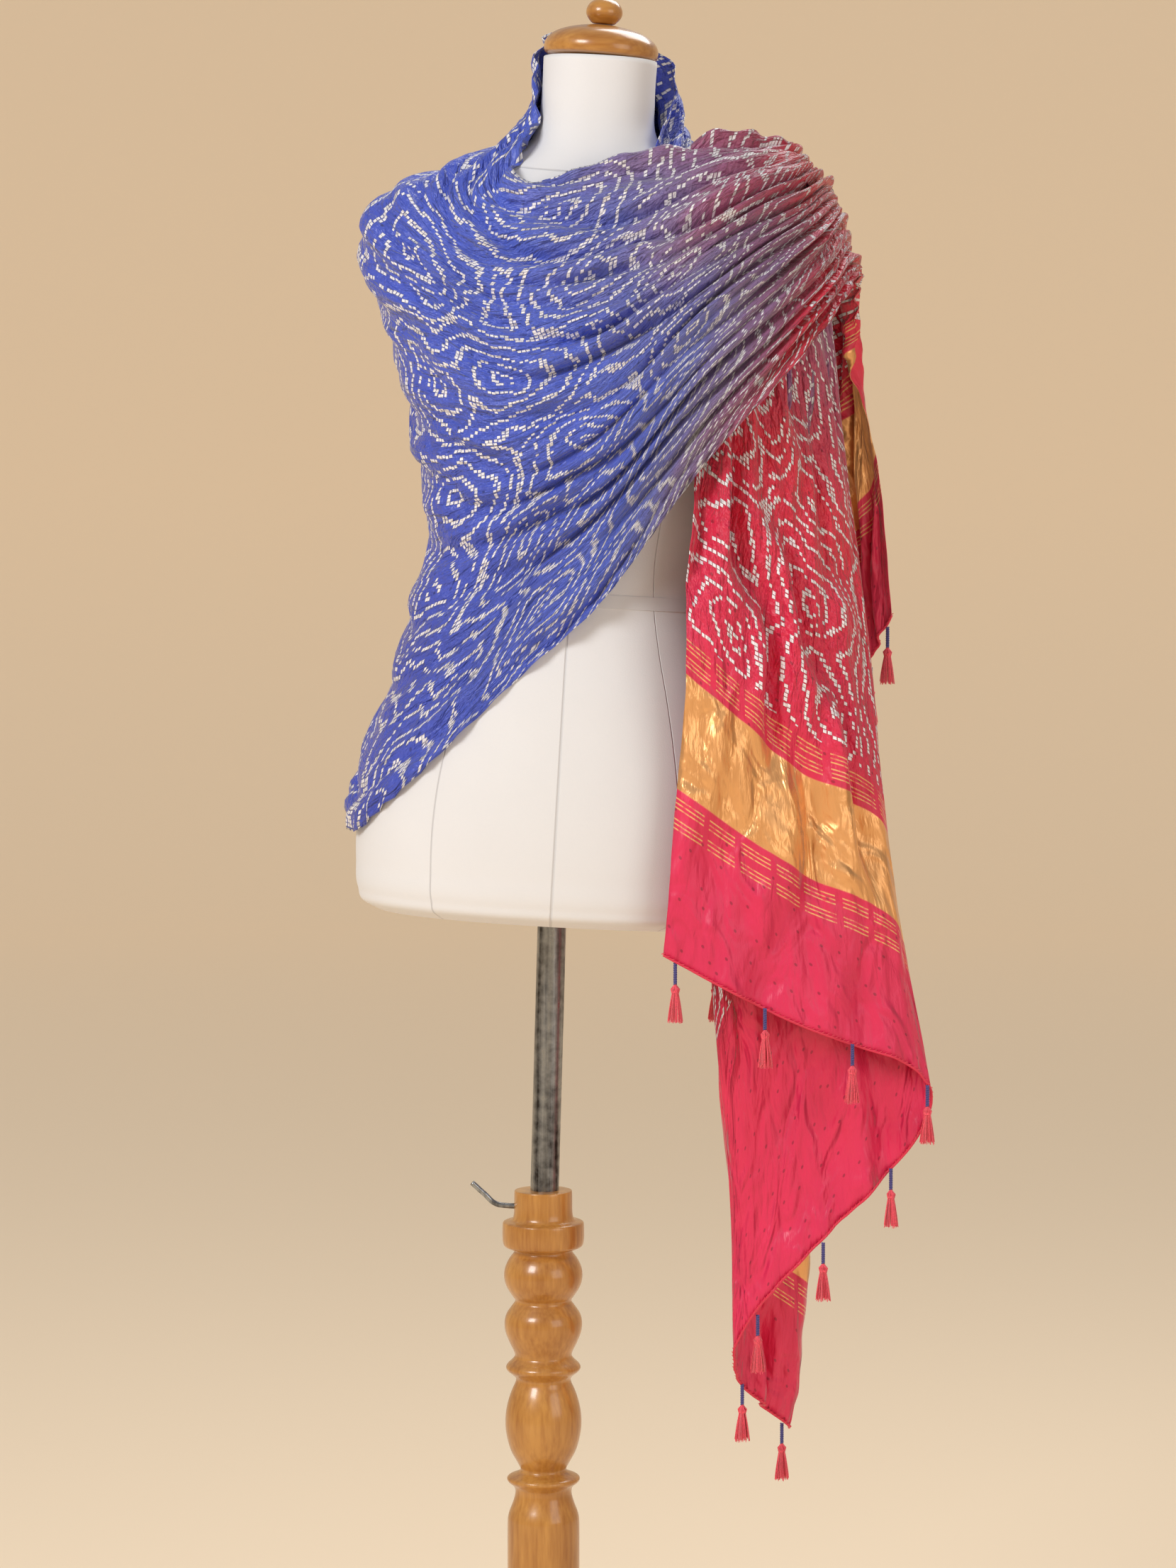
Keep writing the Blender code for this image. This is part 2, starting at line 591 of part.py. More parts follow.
def build_tassels(grid, thread, binding):
    """Hangs a cord and a tassel at even steps along each hem."""
    mesh = tassel_mesh()
    radius, length = TASSEL_CORD["radius"], TASSEL_CORD["length"]
    for end, hem, inside in (("front", grid[0], grid[1]), ("back", grid[-1], grid[-2])):
        run = np.concatenate([[0.0], np.cumsum(np.linalg.norm(np.diff(hem, axis=0), axis=1))])
        places = np.linspace(TASSEL_MARGIN, run[-1] - TASSEL_MARGIN, TASSELS_PER_END)
        for number, place in enumerate(places, 1):
            point = np.array([np.interp(place, run, hem[:, axis]) for axis in range(3)])
            back = np.array([np.interp(place, run, inside[:, axis]) for axis in range(3)])
            edge = np.array([np.interp(place + radius, run, hem[:, axis]) for axis in range(3)]) - point
            edge /= np.linalg.norm(edge)
            outward = point - back
            outward -= edge * outward.dot(edge)
            outward /= np.linalg.norm(outward)
            level = math.hypot(outward[0], outward[1])
            top = point + outward * (level * radius + 2 * GAP)
            bpy.ops.mesh.primitive_cylinder_add(vertices=6, radius=radius, depth=length)
            cord = bpy.context.object
            cord.name = cord.data.name = f"tassel_cord_{end}_{number}"
            cord.location = (top[0], top[1], top[2] - length / 2)
            cord.data.materials.append(binding)
            made = bpy.data.objects.new(f"tassel_{end}_{number}", mesh)
            bpy.context.scene.collection.objects.link(made)
            made.location = (top[0], top[1], top[2] - length - GAP)
    mesh.materials.append(thread)


def build():
    for old in list(bpy.data.objects):
        bpy.data.objects.remove(old, do_unlink=True)
    cotton = material("form_cotton", (0.70, 0.71, 0.74), 0.85)
    wood = material("honey_wood", (0.58, 0.24, 0.03), 0.28)
    steel = material("worn_steel", (0.20, 0.21, 0.22), 0.30, 1.0)
    silk = material("bandhani_silk", (0.10, 0.13, 0.55), 0.45)
    thread = material("coral_thread", (0.78, 0.08, 0.13), 0.75)
    binding = material("navy_thread", (0.05, 0.05, 0.20), 0.75)
    build_form(cotton)
    build_stand(wood, steel)
    build_tassels(build_cloth(silk), thread, binding)


build()
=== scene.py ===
"""Looks for the bandhani cloth on its dress form: camera and studio, form, stand, cloth, hems and tassels."""

import math

import bpy
import numpy as np
from mathutils import Matrix, Vector
from mathutils.bvhtree import BVHTree


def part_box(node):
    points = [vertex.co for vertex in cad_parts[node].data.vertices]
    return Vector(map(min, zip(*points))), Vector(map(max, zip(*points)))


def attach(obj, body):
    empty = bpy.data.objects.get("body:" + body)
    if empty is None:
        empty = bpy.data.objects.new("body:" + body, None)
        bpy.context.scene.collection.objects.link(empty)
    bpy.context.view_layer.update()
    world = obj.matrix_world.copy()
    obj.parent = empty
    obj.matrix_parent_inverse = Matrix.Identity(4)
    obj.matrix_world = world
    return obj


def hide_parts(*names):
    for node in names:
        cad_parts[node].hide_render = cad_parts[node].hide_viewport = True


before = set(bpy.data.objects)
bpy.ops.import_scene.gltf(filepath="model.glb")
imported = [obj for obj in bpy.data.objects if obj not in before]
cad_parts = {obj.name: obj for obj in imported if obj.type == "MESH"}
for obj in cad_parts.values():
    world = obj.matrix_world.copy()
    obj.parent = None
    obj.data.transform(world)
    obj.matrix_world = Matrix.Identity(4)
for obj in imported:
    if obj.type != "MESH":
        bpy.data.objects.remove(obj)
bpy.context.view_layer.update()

# Camera.
# It stands 3.6 m in front of the form, a little above its waist, and looks slightly down.
# The picture is cut off below the beads of the post.
CAMERA_PLACE = (0.0377, -3.6, 1.21)
CAMERA_PITCH = math.radians(-4.01)
CAMERA_LENS = 99.0

bpy.context.scene.view_settings.view_transform = "Standard"
camera = bpy.data.objects.new("camera", bpy.data.cameras.new("camera"))
camera.data.lens = CAMERA_LENS
camera.location = CAMERA_PLACE
camera.rotation_euler = (math.pi / 2 + CAMERA_PITCH, 0.0, 0.0)
bpy.context.scene.collection.objects.link(camera)
bpy.context.scene.camera = camera

# Studio.
# A pale round floor whose rim curves up all the way round into a low wall, so that every side has the same
# backdrop. Big soft lamps stand in front on both sides and one hangs behind.
SWEEP_COLOUR = (0.78, 0.64, 0.47, 1.0)
SWEEP_GLOW = 0.28
SWEEP_SIDES = 96
SWEEP_BEND = {"start": 8.0, "radius": 1.2, "steps": 12, "top": 4.2}
LAMPS = (
    # name, place, size, watts
    ("key_lamp", (-2.1, -2.6, 2.9), 1.3, 84.0),
    ("fill_lamp", (2.4, -2.6, 1.7), 2.0, 22.0),
    ("back_lamp", (0.8, 1.2, 2.9), 1.2, 24.0),
)
LAMP_AIM = Vector((0.05, 0.0, 1.05))
WORLD_LIGHT = 0.36


def add_node(tree, kind, inputs=None, **settings):
    """A node with its settings. Its inputs are values or other nodes' outputs."""
    made = tree.nodes.new(kind)
    for name, value in settings.items():
        setattr(made, name, value)
    for key, value in (inputs or {}).items():
        if isinstance(value, bpy.types.NodeSocket):
            tree.links.new(value, made.inputs[key])
        else:
            made.inputs[key].default_value = value
    return made


def maths(tree, operation, *values):
    return add_node(tree, "ShaderNodeMath", dict(enumerate(values)), operation=operation).outputs[0]


def new_material(name):
    """A material, its node tree and its Principled shader."""
    made = bpy.data.materials.new(name)
    made.use_nodes = True
    return made, made.node_tree, made.node_tree.nodes["Principled BSDF"]


def add_piece(name, points, faces, *finishes):
    """A smooth mesh object at the origin."""
    mesh = bpy.data.meshes.new(name)
    mesh.from_pydata([tuple(map(float, point)) for point in points], [], faces)
    for finish in finishes:
        mesh.materials.append(finish)
    mesh.shade_smooth()
    made = bpy.data.objects.new(name, mesh)
    bpy.context.scene.collection.objects.link(made)
    return made


world = bpy.data.worlds.new("studio")
world.use_nodes = True
world.node_tree.nodes["Background"].inputs["Color"].default_value = (1.0, 0.985, 0.97, 1.0)
world.node_tree.nodes["Background"].inputs["Strength"].default_value = WORLD_LIGHT
bpy.context.scene.world = world

sweep_line = [(SWEEP_BEND["start"] / 2, -0.0005)]
for turn in np.linspace(0.0, math.pi / 2, SWEEP_BEND["steps"]):
    out = SWEEP_BEND["start"] + SWEEP_BEND["radius"] * math.sin(turn)
    sweep_line.append((out, SWEEP_BEND["radius"] * (1 - math.cos(turn)) - 0.0005))
sweep_line.append((SWEEP_BEND["start"] + SWEEP_BEND["radius"], SWEEP_BEND["top"]))
sweep_points = [(0.0, 0.0, -0.0005)]
for radius, height in sweep_line:
    for turn in np.arange(SWEEP_SIDES) * 2 * math.pi / SWEEP_SIDES:
        sweep_points.append((radius * math.cos(turn), radius * math.sin(turn), height))
sweep_faces = []
for side in range(SWEEP_SIDES):
    after = (side + 1) % SWEEP_SIDES
    sweep_faces.append((0, 1 + side, 1 + after))
    for ring in range(len(sweep_line) - 1):
        low, high = 1 + ring * SWEEP_SIDES, 1 + (ring + 1) * SWEEP_SIDES
        sweep_faces.append((low + side, high + side, high + after, low + after))
sweep_paint, _, sweep_shader = new_material("sweep_paint")
sweep_shader.inputs["Base Color"].default_value = SWEEP_COLOUR
sweep_shader.inputs["Roughness"].default_value = 0.9
sweep_shader.inputs["Emission Color"].default_value = SWEEP_COLOUR
sweep_shader.inputs["Emission Strength"].default_value = SWEEP_GLOW
sweep = add_piece("sweep", sweep_points, sweep_faces, sweep_paint)

for name, place, size, watts in LAMPS:
    lamp = bpy.data.objects.new(name, bpy.data.lights.new(name, "AREA"))
    lamp.data.energy = watts
    lamp.data.size = size
    lamp.location = place
    lamp.rotation_euler = (LAMP_AIM - Vector(place)).to_track_quat("-Z", "Y").to_euler()
    bpy.context.scene.collection.objects.link(lamp)

# Dress form.
# A papier-mache body covered in off-white cotton. The cover is cut in panels, and their seams show as
# thin valleys. It stands on the pole and leans a little towards +X.
FORM_FOOT = (0.007, 0.0, 0.847)
FORM_LEAN = math.radians(3.3)
FORM_ROUNDNESS = 2.3
FORM_SIDES = 180
FORM_LEVELS = 190
NECK_TOP = 0.712
BUST = {"height": 0.425, "apart": 28.0, "depth": 0.010, "tall": 0.050, "wide": 18.0}
# Rows are: height above the foot, half width, half depth.
FORM_RINGS = (
    (0.000, 0.146, 0.094),
    (0.005, 0.157, 0.105),
    (0.016, 0.163, 0.111),
    (0.040, 0.166, 0.114),
    (0.070, 0.167, 0.115),
    (0.110, 0.163, 0.113),
    (0.150, 0.153, 0.108),
    (0.190, 0.140, 0.101),
    (0.230, 0.125, 0.092),
    (0.267, 0.115, 0.086),
    (0.300, 0.113, 0.086),
    (0.340, 0.119, 0.091),
    (0.390, 0.129, 0.099),
    (0.440, 0.143, 0.105),
    (0.480, 0.158, 0.104),
    (0.515, 0.174, 0.098),
    (0.540, 0.184, 0.090),
    (0.565, 0.186, 0.081),
    (0.585, 0.174, 0.073),
    (0.600, 0.147, 0.068),
    (0.612, 0.113, 0.063),
    (0.625, 0.079, 0.057),
    (0.637, 0.059, 0.052),
    (0.652, 0.050, 0.048),
    (0.680, 0.047, 0.046),
    (NECK_TOP, 0.047, 0.047),
)
COTTON = (0.78, 0.79, 0.82, 1.0)
# Panel seams, as degrees from +X over the back. The neck's seam is a height that dips towards the front.
PANEL_SEAMS = (0.0, 56.0, 90.0, 124.0, 180.0, 236.0, 270.0, 304.0)
NECK_SEAM, NECK_DIP = 0.628, 0.013
SEAM_HALF_WIDTH = 0.0009


def hermite(knots, values, keys):
    """A smooth curve through the values at the knots, read at the keys."""
    knots, values, keys = np.asarray(knots, float), np.asarray(values, float), np.asarray(keys, float)
    steps = np.diff(knots).reshape(-1, *[1] * (values.ndim - 1))
    slopes = np.diff(values, axis=0) / steps
    tangents = np.empty_like(values)
    tangents[0], tangents[-1] = slopes[0], slopes[-1]
    tangents[1:-1] = (slopes[:-1] * steps[1:] + slopes[1:] * steps[:-1]) / (steps[:-1] + steps[1:])
    cell = np.clip(np.searchsorted(knots, keys, side="right") - 1, 0, len(knots) - 2)
    step = steps[cell]
    u = ((keys - knots[cell]).reshape(-1, *[1] * (values.ndim - 1))) / step
    return (
        (1 + 2 * u) * (1 - u) ** 2 * values[cell]
        + u * (1 - u) ** 2 * step * tangents[cell]
        + u * u * (3 - 2 * u) * values[cell + 1]
        + u * u * (u - 1) * step * tangents[cell + 1]
    )


def along(table, keys):
    """Rows of a table (key, values...) read off a smooth curve at each key."""
    rows = np.array(table, float)
    return hermite(rows[:, 0], rows[:, 1:], np.atleast_1d(keys))


def bump(value, middle, spread):
    return np.exp(-(((value - middle) / spread) ** 2))


def form_point(turn, height):
    """A point of the form's surface in its own frame. Turn is in degrees from +X, over the back."""
    turn, height = np.broadcast_arrays(np.asarray(turn, float), np.asarray(height, float))
    half = along(FORM_RINGS, np.clip(height, 0.0, NECK_TOP).ravel()).reshape(*height.shape, 2)
    power = 2.0 / FORM_ROUNDNESS
    across, back = np.cos(np.radians(turn)), np.sin(np.radians(turn))
    x = half[..., 0] * np.sign(across) * np.abs(across) ** power
    y = half[..., 1] * np.sign(back) * np.abs(back) ** power
    for side in (-1, 1):
        wide = bump(turn, 270.0 + side * BUST["apart"], BUST["wide"])
        y = y - BUST["depth"] * wide * bump(height, BUST["height"], BUST["tall"])
    return np.stack([x, y, height], axis=-1)


def lean(points):
    """Carries points from the form's own frame to the world."""
    x, y, height = np.moveaxis(np.asarray(points, float), -1, 0)
    return np.stack(
        [
            FORM_FOOT[0] + x * math.cos(FORM_LEAN) + height * math.sin(FORM_LEAN),
            FORM_FOOT[1] + y,
            FORM_FOOT[2] - x * math.sin(FORM_LEAN) + height * math.cos(FORM_LEAN),
        ],
        axis=-1,
    )


def over_form(turn, height, lift):
    """A world point lifted off the form's surface along its normal."""
    nudge, rise = 0.5, 0.001
    upward = form_point(turn, height + rise) - form_point(turn, height - rise)
    round_way = form_point(turn + nudge, height) - form_point(turn - nudge, height)
    normal = np.cross(round_way, upward)
    normal /= np.linalg.norm(normal, axis=-1, keepdims=True)
    return lean(form_point(turn, height) + normal * np.asarray(lift)[..., None])


def set_uv(made, pairs):
    """Gives a mesh a UV map from one pair for each vertex."""
    layer = made.data.uv_layers.new(name="UVMap")
    corners = np.empty(len(made.data.loops), np.int32)
    made.data.loops.foreach_get("vertex_index", corners)
    layer.data.foreach_set("uv", np.asarray(pairs, np.float32)[corners].ravel())


# The seam of the UV map runs up the back at turn 0, so the first column is doubled there.
form_turns = np.linspace(0.0, 360.0, FORM_SIDES + 1)
knots = np.linspace(0.0, 1.0, len(FORM_RINGS))
form_levels = hermite(knots, [ring[0] for ring in FORM_RINGS], np.linspace(0.0, 1.0, FORM_LEVELS))
turn_grid, level_grid = np.meshgrid(form_turns, form_levels)
form_points = lean(form_point(turn_grid, level_grid)).reshape(-1, 3)
form_uv = np.stack([turn_grid / 360.0, level_grid], axis=-1).reshape(-1, 2)
form_faces = []
for level in range(FORM_LEVELS - 1):
    for side in range(FORM_SIDES):
        here = level * (FORM_SIDES + 1) + side
        above = here + FORM_SIDES + 1
        form_faces.append((here, here + 1, above + 1, above))
last = (FORM_LEVELS - 1) * (FORM_SIDES + 1)
form_faces.append(tuple(range(FORM_SIDES, 0, -1)))
form_faces.append(tuple(range(last, last + FORM_SIDES)))

cotton, tree, shader = new_material("form_cotton")
shader.inputs["Base Color"].default_value = COTTON
shader.inputs["Roughness"].default_value = 0.88
shader.inputs["Sheen Weight"].default_value = 0.15
place = add_node(tree, "ShaderNodeSeparateXYZ", {0: add_node(tree, "ShaderNodeUVMap", uv_map="UVMap").outputs[0]})
turn_socket = maths(tree, "MULTIPLY", place.outputs[0], 360.0)
gap_to_seam = maths(tree, "ABSOLUTE", maths(tree, "SUBTRACT", turn_socket, 360.0))
for seam in PANEL_SEAMS:
    gap = maths(tree, "ABSOLUTE", maths(tree, "SUBTRACT", turn_socket, seam))
    gap_to_seam = maths(tree, "MINIMUM", gap_to_seam, gap)
gap_to_seam = maths(tree, "MULTIPLY", gap_to_seam, math.radians(1.0) * 0.14)
facing = maths(tree, "SINE", maths(tree, "MULTIPLY", turn_socket, math.radians(1.0)))
seam_height = maths(tree, "MULTIPLY_ADD", facing, NECK_DIP, NECK_SEAM)
gap_to_seam = maths(tree, "ADD", gap_to_seam, maths(tree, "GREATER_THAN", place.outputs[1], seam_height))
neck_gap = maths(tree, "ABSOLUTE", maths(tree, "SUBTRACT", place.outputs[1], seam_height))
gap_to_seam = maths(tree, "MINIMUM", gap_to_seam, neck_gap)
valley = add_node(
    tree,
    "ShaderNodeMapRange",
    {0: gap_to_seam, 1: 0.0, 2: SEAM_HALF_WIDTH, 3: 0.0, 4: 1.0},
    interpolation_type="SMOOTHSTEP",
).outputs[0]
objects = add_node(tree, "ShaderNodeTexCoord").outputs["Object"]
weave = add_node(tree, "ShaderNodeTexNoise", {"Vector": objects, "Scale": 900.0, "Detail": 2.0}).outputs[0]
cloudy = add_node(tree, "ShaderNodeTexNoise", {"Vector": objects, "Scale": 9.0, "Detail": 3.0}).outputs[0]
tone = maths(tree, "MULTIPLY_ADD", cloudy, 0.10, 0.93)
tone = maths(tree, "MULTIPLY", tone, maths(tree, "MULTIPLY_ADD", valley, 0.16, 0.84))
shade = add_node(tree, "ShaderNodeVectorMath", {0: COTTON[:3]}, operation="SCALE")
tree.links.new(tone, shade.inputs["Scale"])
tree.links.new(shade.outputs[0], shader.inputs["Base Color"])
groove = add_node(tree, "ShaderNodeBump", {"Strength": 0.6, "Distance": 0.0012, "Height": valley})
cloth_grain = add_node(
    tree, "ShaderNodeBump", {"Strength": 0.25, "Distance": 0.0004, "Height": weave, "Normal": groove.outputs[0]}
)
tree.links.new(cloth_grain.outputs[0], shader.inputs["Normal"])

form = add_piece("form_cover", form_points, form_faces, cotton)
set_uv(form, form_uv)
merge = form.modifiers.new("close", "WELD")
merge.merge_threshold = 0.00001
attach(form, "root")
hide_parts("dress_form")

# Waist tape.
# A narrow woven cotton tape glued round the form's waist, which dressmakers measure from.
TAPE_LOW, TAPE_HIGH, TAPE_THICKNESS, TAPE_SIDES = 0.262, 0.273, 0.0006, 120

tape_points, tape_faces = [], []
tape_turns = np.arange(TAPE_SIDES) * 360.0 / TAPE_SIDES
for height, lift in ((TAPE_LOW, 0.0), (TAPE_LOW, TAPE_THICKNESS), (TAPE_HIGH, TAPE_THICKNESS), (TAPE_HIGH, 0.0)):
    tape_points.append(over_form(tape_turns, np.full(TAPE_SIDES, height), np.full(TAPE_SIDES, lift)))
for ring in range(4):
    for side in range(TAPE_SIDES):
        after = (side + 1) % TAPE_SIDES
        upper = (ring + 1) % 4 * TAPE_SIDES
        tape_faces.append((ring * TAPE_SIDES + side, ring * TAPE_SIDES + after, upper + after, upper + side))
tape_cotton, tree, shader = new_material("tape_cotton")
shader.inputs["Base Color"].default_value = (0.70, 0.71, 0.74, 1.0)
shader.inputs["Roughness"].default_value = 0.8
tape = add_piece("waist_tape", np.concatenate(tape_points), tape_faces, tape_cotton)
tape.data.set_sharp_from_angle(angle=math.radians(40))
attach(tape, "root")

# Turned wood: neck cap, knob, post and base.
# Honey-stained beech turned on a lathe and varnished to a gloss. The cap is screwed to the neck, the
# post is glued into the base.
GAP = 0.0003
TURN_STEPS = 96
CAP_TILT = math.radians(5.0)
POST_FOOT = 0.0450
# Points of each outline are: radius, height. The cap's and knob's heights count from the neck's top.
TURNINGS = {
    "neck_cap": (
        (0.0, 0.0270), (0.0100, 0.0268), (0.0240, 0.0246), (0.0370, 0.0205), (0.0445, 0.0150),
        (0.0475, 0.0095), (0.0475, 0.0040), (0.0455, 0.0), (0.0, 0.0),
    ),
    "cap_knob": (
        (0.0, 0.0490), (0.0070, 0.0482), (0.0125, 0.0450), (0.0153, 0.0395), (0.0150, 0.0345),
        (0.0110, 0.0295), (0.0085, 0.0275), (0.0, 0.0275),
    ),
    "post": (
        (0.0, 0.6150), (0.0235, 0.6150), (0.0245, 0.6140), (0.0245, 0.5895), (0.0335, 0.5885),
        (0.0345, 0.5860), (0.0345, 0.5700), (0.0320, 0.5665), (0.0250, 0.5650), (0.0240, 0.5625),
        (0.0295, 0.5560), (0.0335, 0.5460), (0.0325, 0.5350), (0.0265, 0.5255), (0.0230, 0.5210),
        (0.0265, 0.5165), (0.0325, 0.5080), (0.0330, 0.4960), (0.0280, 0.4840), (0.0235, 0.4755),
        (0.0250, 0.4715), (0.0315, 0.4660), (0.0315, 0.4620), (0.0245, 0.4570), (0.0225, 0.4530),
        (0.0275, 0.4430), (0.0318, 0.4280), (0.0325, 0.4120), (0.0285, 0.3940), (0.0215, 0.3820),
        (0.0185, 0.3760), (0.0240, 0.3730), (0.0308, 0.3705), (0.0308, 0.3670), (0.0245, 0.3625),
        (0.0235, 0.3570), (0.0255, 0.3490), (0.0300, 0.3380), (0.0305, 0.3300), (0.0305, 0.1500),
        (0.0260, 0.1420), (0.0330, 0.1300), (0.0420, 0.1050), (0.0420, 0.0850), (0.0330, 0.0700),
        (0.0380, 0.0600), (0.0600, 0.0520), (0.0620, POST_FOOT), (0.0, POST_FOOT),
    ),
    "base": (
        (0.0, POST_FOOT - GAP), (0.1250, POST_FOOT - GAP), (0.1350, 0.0400), (0.1400, 0.0330),
        (0.1900, 0.0290), (0.2050, 0.0220), (0.2100, 0.0140), (0.2100, 0.0030), (0.2070, 0.0), (0.0, 0.0),
    ),
}
CORNER_REACH = 0.004
WOOD_DARK, WOOD_LIGHT = (0.34, 0.125, 0.018, 1.0), (0.56, 0.27, 0.060, 1.0)


def rounded(outline, reach, passes=3):
    """An outline with its corners cut again and again. No cut is longer than the reach."""
    line = np.array(outline)
    for _ in range(passes):
        steps = np.diff(line, axis=0)
        lengths = np.linalg.norm(steps, axis=1, keepdims=True)
        cuts = steps / np.maximum(lengths, 1e-9) * np.minimum(lengths / 4, reach)
        inner = np.stack([line[:-1] + cuts, line[1:] - cuts], axis=1).reshape(-1, 2)
        line = np.concatenate([line[:1], inner[1:-1], line[-1:]])
    return line


def turned(name, outline, place, finish):
    """A piece turned on its axis, from its outline, top to bottom, and closed at both poles."""
    line = rounded(outline, CORNER_REACH)[1:-1]
    turns = np.arange(TURN_STEPS) * 2 * math.pi / TURN_STEPS
    ring = np.stack([np.cos(turns), np.sin(turns)], axis=-1)
    points = np.concatenate([np.column_stack([ring * r, np.full(TURN_STEPS, z)]) for r, z in line])
    count = len(points)
    points = np.concatenate([points, [(0.0, 0.0, outline[0][1]), (0.0, 0.0, outline[-1][1])]])
    faces = []
    for level in range(len(line) - 1):
        for side in range(TURN_STEPS):
            here, after = level * TURN_STEPS + side, level * TURN_STEPS + (side + 1) % TURN_STEPS
            faces.append((here, here + TURN_STEPS, after + TURN_STEPS, after))
    for side in range(TURN_STEPS):
        after = (side + 1) % TURN_STEPS
        faces.append((count, side, after))
        faces.append((count + 1, count - TURN_STEPS + after, count - TURN_STEPS + side))
    points = [place @ Vector(point) for point in points]
    made = add_piece(name + "_turned", points, faces, finish)
    made.data.set_sharp_from_angle(angle=math.radians(50))
    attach(made, "root")
    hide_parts(name)
    return made


def wood(name, grain_scale):
    """Varnished wood with its grain drawn out along one axis."""
    made, tree, shader = new_material(name)
    objects = add_node(tree, "ShaderNodeTexCoord").outputs["Object"]
    stretched = add_node(tree, "ShaderNodeMapping", {"Vector": objects, "Scale": grain_scale}).outputs[0]
    broad = add_node(tree, "ShaderNodeTexNoise", {"Vector": stretched, "Scale": 1.0, "Detail": 4.0}).outputs[0]
    fine = add_node(tree, "ShaderNodeTexNoise", {"Vector": stretched, "Scale": 7.0, "Detail": 3.0}).outputs[0]
    mixed = maths(tree, "MULTIPLY_ADD", fine, 0.45, maths(tree, "MULTIPLY", broad, 0.62))
    ramp = add_node(tree, "ShaderNodeValToRGB", {0: mixed})
    ramp.color_ramp.elements[0].position, ramp.color_ramp.elements[0].color = 0.36, WOOD_DARK
    ramp.color_ramp.elements[1].position, ramp.color_ramp.elements[1].color = 0.68, WOOD_LIGHT
    tree.links.new(ramp.outputs[0], shader.inputs["Base Color"])
    shader.inputs["Roughness"].default_value = 0.30
    shader.inputs["Coat Weight"].default_value = 0.55
    shader.inputs["Coat Roughness"].default_value = 0.14
    pores = add_node(tree, "ShaderNodeBump", {"Strength": 0.12, "Distance": 0.0005, "Height": fine})
    tree.links.new(pores.outputs[0], shader.inputs["Normal"])
    return made


post_wood = wood("honey_wood_upright", (45.0, 45.0, 5.0))
flat_wood = wood("honey_wood_flat", (6.0, 40.0, 40.0))
neck_place = Matrix.Translation(Vector(lean((0.0, 0.0, NECK_TOP)))) @ Matrix.Translation(
    (0.0, 0.0, GAP + math.sin(CAP_TILT - FORM_LEAN) * FORM_RINGS[-1][1])
)
neck_place = neck_place @ Matrix.Rotation(CAP_TILT, 4, "Y")
for name, place, finish in (
    ("neck_cap", neck_place, flat_wood),
    ("cap_knob", neck_place, flat_wood),
    ("post", Matrix.Identity(4), post_wood),
    ("base", Matrix.Identity(4), flat_wood),
):
    turned(name, TURNINGS[name], place, finish)

# Steel pole and clamp lever.
# A steel tube, blackened, with worn spots and with dark and bright streaks along it that are painted reflection,
# slides in the post's collar. A bent rod with a threaded end screws in from the left and clamps it.
POLE_RADIUS = 0.012
POLE_LEAN = math.radians(1.6)
POLE_FOOT = 0.575
POLE_LENGTH = 0.330
POLE_SIDES = 64
LEVER_RADIUS = 0.0023
LEVER_HEIGHT = 0.6015
# Points are: x, z.
LEVER_ROUTE = (
    (-0.060, 0.621),
    (-0.049, 0.611),
    (-0.0405, 0.6035),
    (-0.030, LEVER_HEIGHT),
    (-0.0135, LEVER_HEIGHT),
)

steel, tree, shader = new_material("worn_steel")
objects = add_node(tree, "ShaderNodeTexCoord").outputs["Object"]
stretched = add_node(tree, "ShaderNodeMapping", {"Vector": objects, "Scale": (150.0, 150.0, 6.0)}).outputs[0]
streaks = add_node(tree, "ShaderNodeTexNoise", {"Vector": stretched, "Scale": 1.0, "Detail": 5.0}).outputs[0]
spots = add_node(tree, "ShaderNodeTexNoise", {"Vector": objects, "Scale": 130.0, "Detail": 4.0}).outputs[0]
# Painted reflection: the dark and bright streaks stand in for the lamps' reflections along the tube. The spots are
# wear.
wear_and_painted_reflection = maths(tree, "MULTIPLY_ADD", spots, 0.35, maths(tree, "MULTIPLY", streaks, 0.75))
ramp = add_node(tree, "ShaderNodeValToRGB", {0: wear_and_painted_reflection})
ramp.color_ramp.elements[0].position, ramp.color_ramp.elements[0].color = 0.40, (0.035, 0.030, 0.028, 1.0)
ramp.color_ramp.elements[1].position, ramp.color_ramp.elements[1].color = 0.66, (0.36, 0.38, 0.40, 1.0)
tree.links.new(ramp.outputs[0], shader.inputs["Base Color"])
shader.inputs["Metallic"].default_value = 1.0
rough = add_node(tree, "ShaderNodeMapRange", {0: wear_and_painted_reflection, 1: 0.35, 2: 0.7, 3: 0.55, 4: 0.24}).outputs[0]
tree.links.new(rough, shader.inputs["Roughness"])
scratches = add_node(tree, "ShaderNodeBump", {"Strength": 0.15, "Distance": 0.0004, "Height": streaks})
tree.links.new(scratches.outputs[0], shader.inputs["Normal"])


def tube(name, route, radius, sides, finish):
    """A round rod along a route of points in the XZ plane, closed at both ends."""
    line = bpy.data.curves.new(name, "CURVE")
    line.dimensions = "3D"
    line.bevel_depth = radius
    line.bevel_resolution = sides // 4
    line.use_fill_caps = True
    spline = line.splines.new("BEZIER")
    spline.bezier_points.add(len(route) - 1)
    for point, place in zip(spline.bezier_points, route):
        point.co = place
        point.handle_left_type = point.handle_right_type = "AUTO"
    guide = bpy.data.objects.new(name + "_guide", line)
    bpy.context.scene.collection.objects.link(guide)
    bpy.context.view_layer.update()
    mesh = bpy.data.meshes.new_from_object(guide.evaluated_get(bpy.context.evaluated_depsgraph_get()))
    bpy.data.objects.remove(guide)
    made = bpy.data.objects.new(name, mesh)
    bpy.context.scene.collection.objects.link(made)
    mesh.materials.clear()
    mesh.materials.append(finish)
    mesh.shade_smooth()
    mesh.set_sharp_from_angle(angle=math.radians(60))
    weld = made.modifiers.new("close", "WELD")
    weld.merge_threshold = 0.00001
    return made


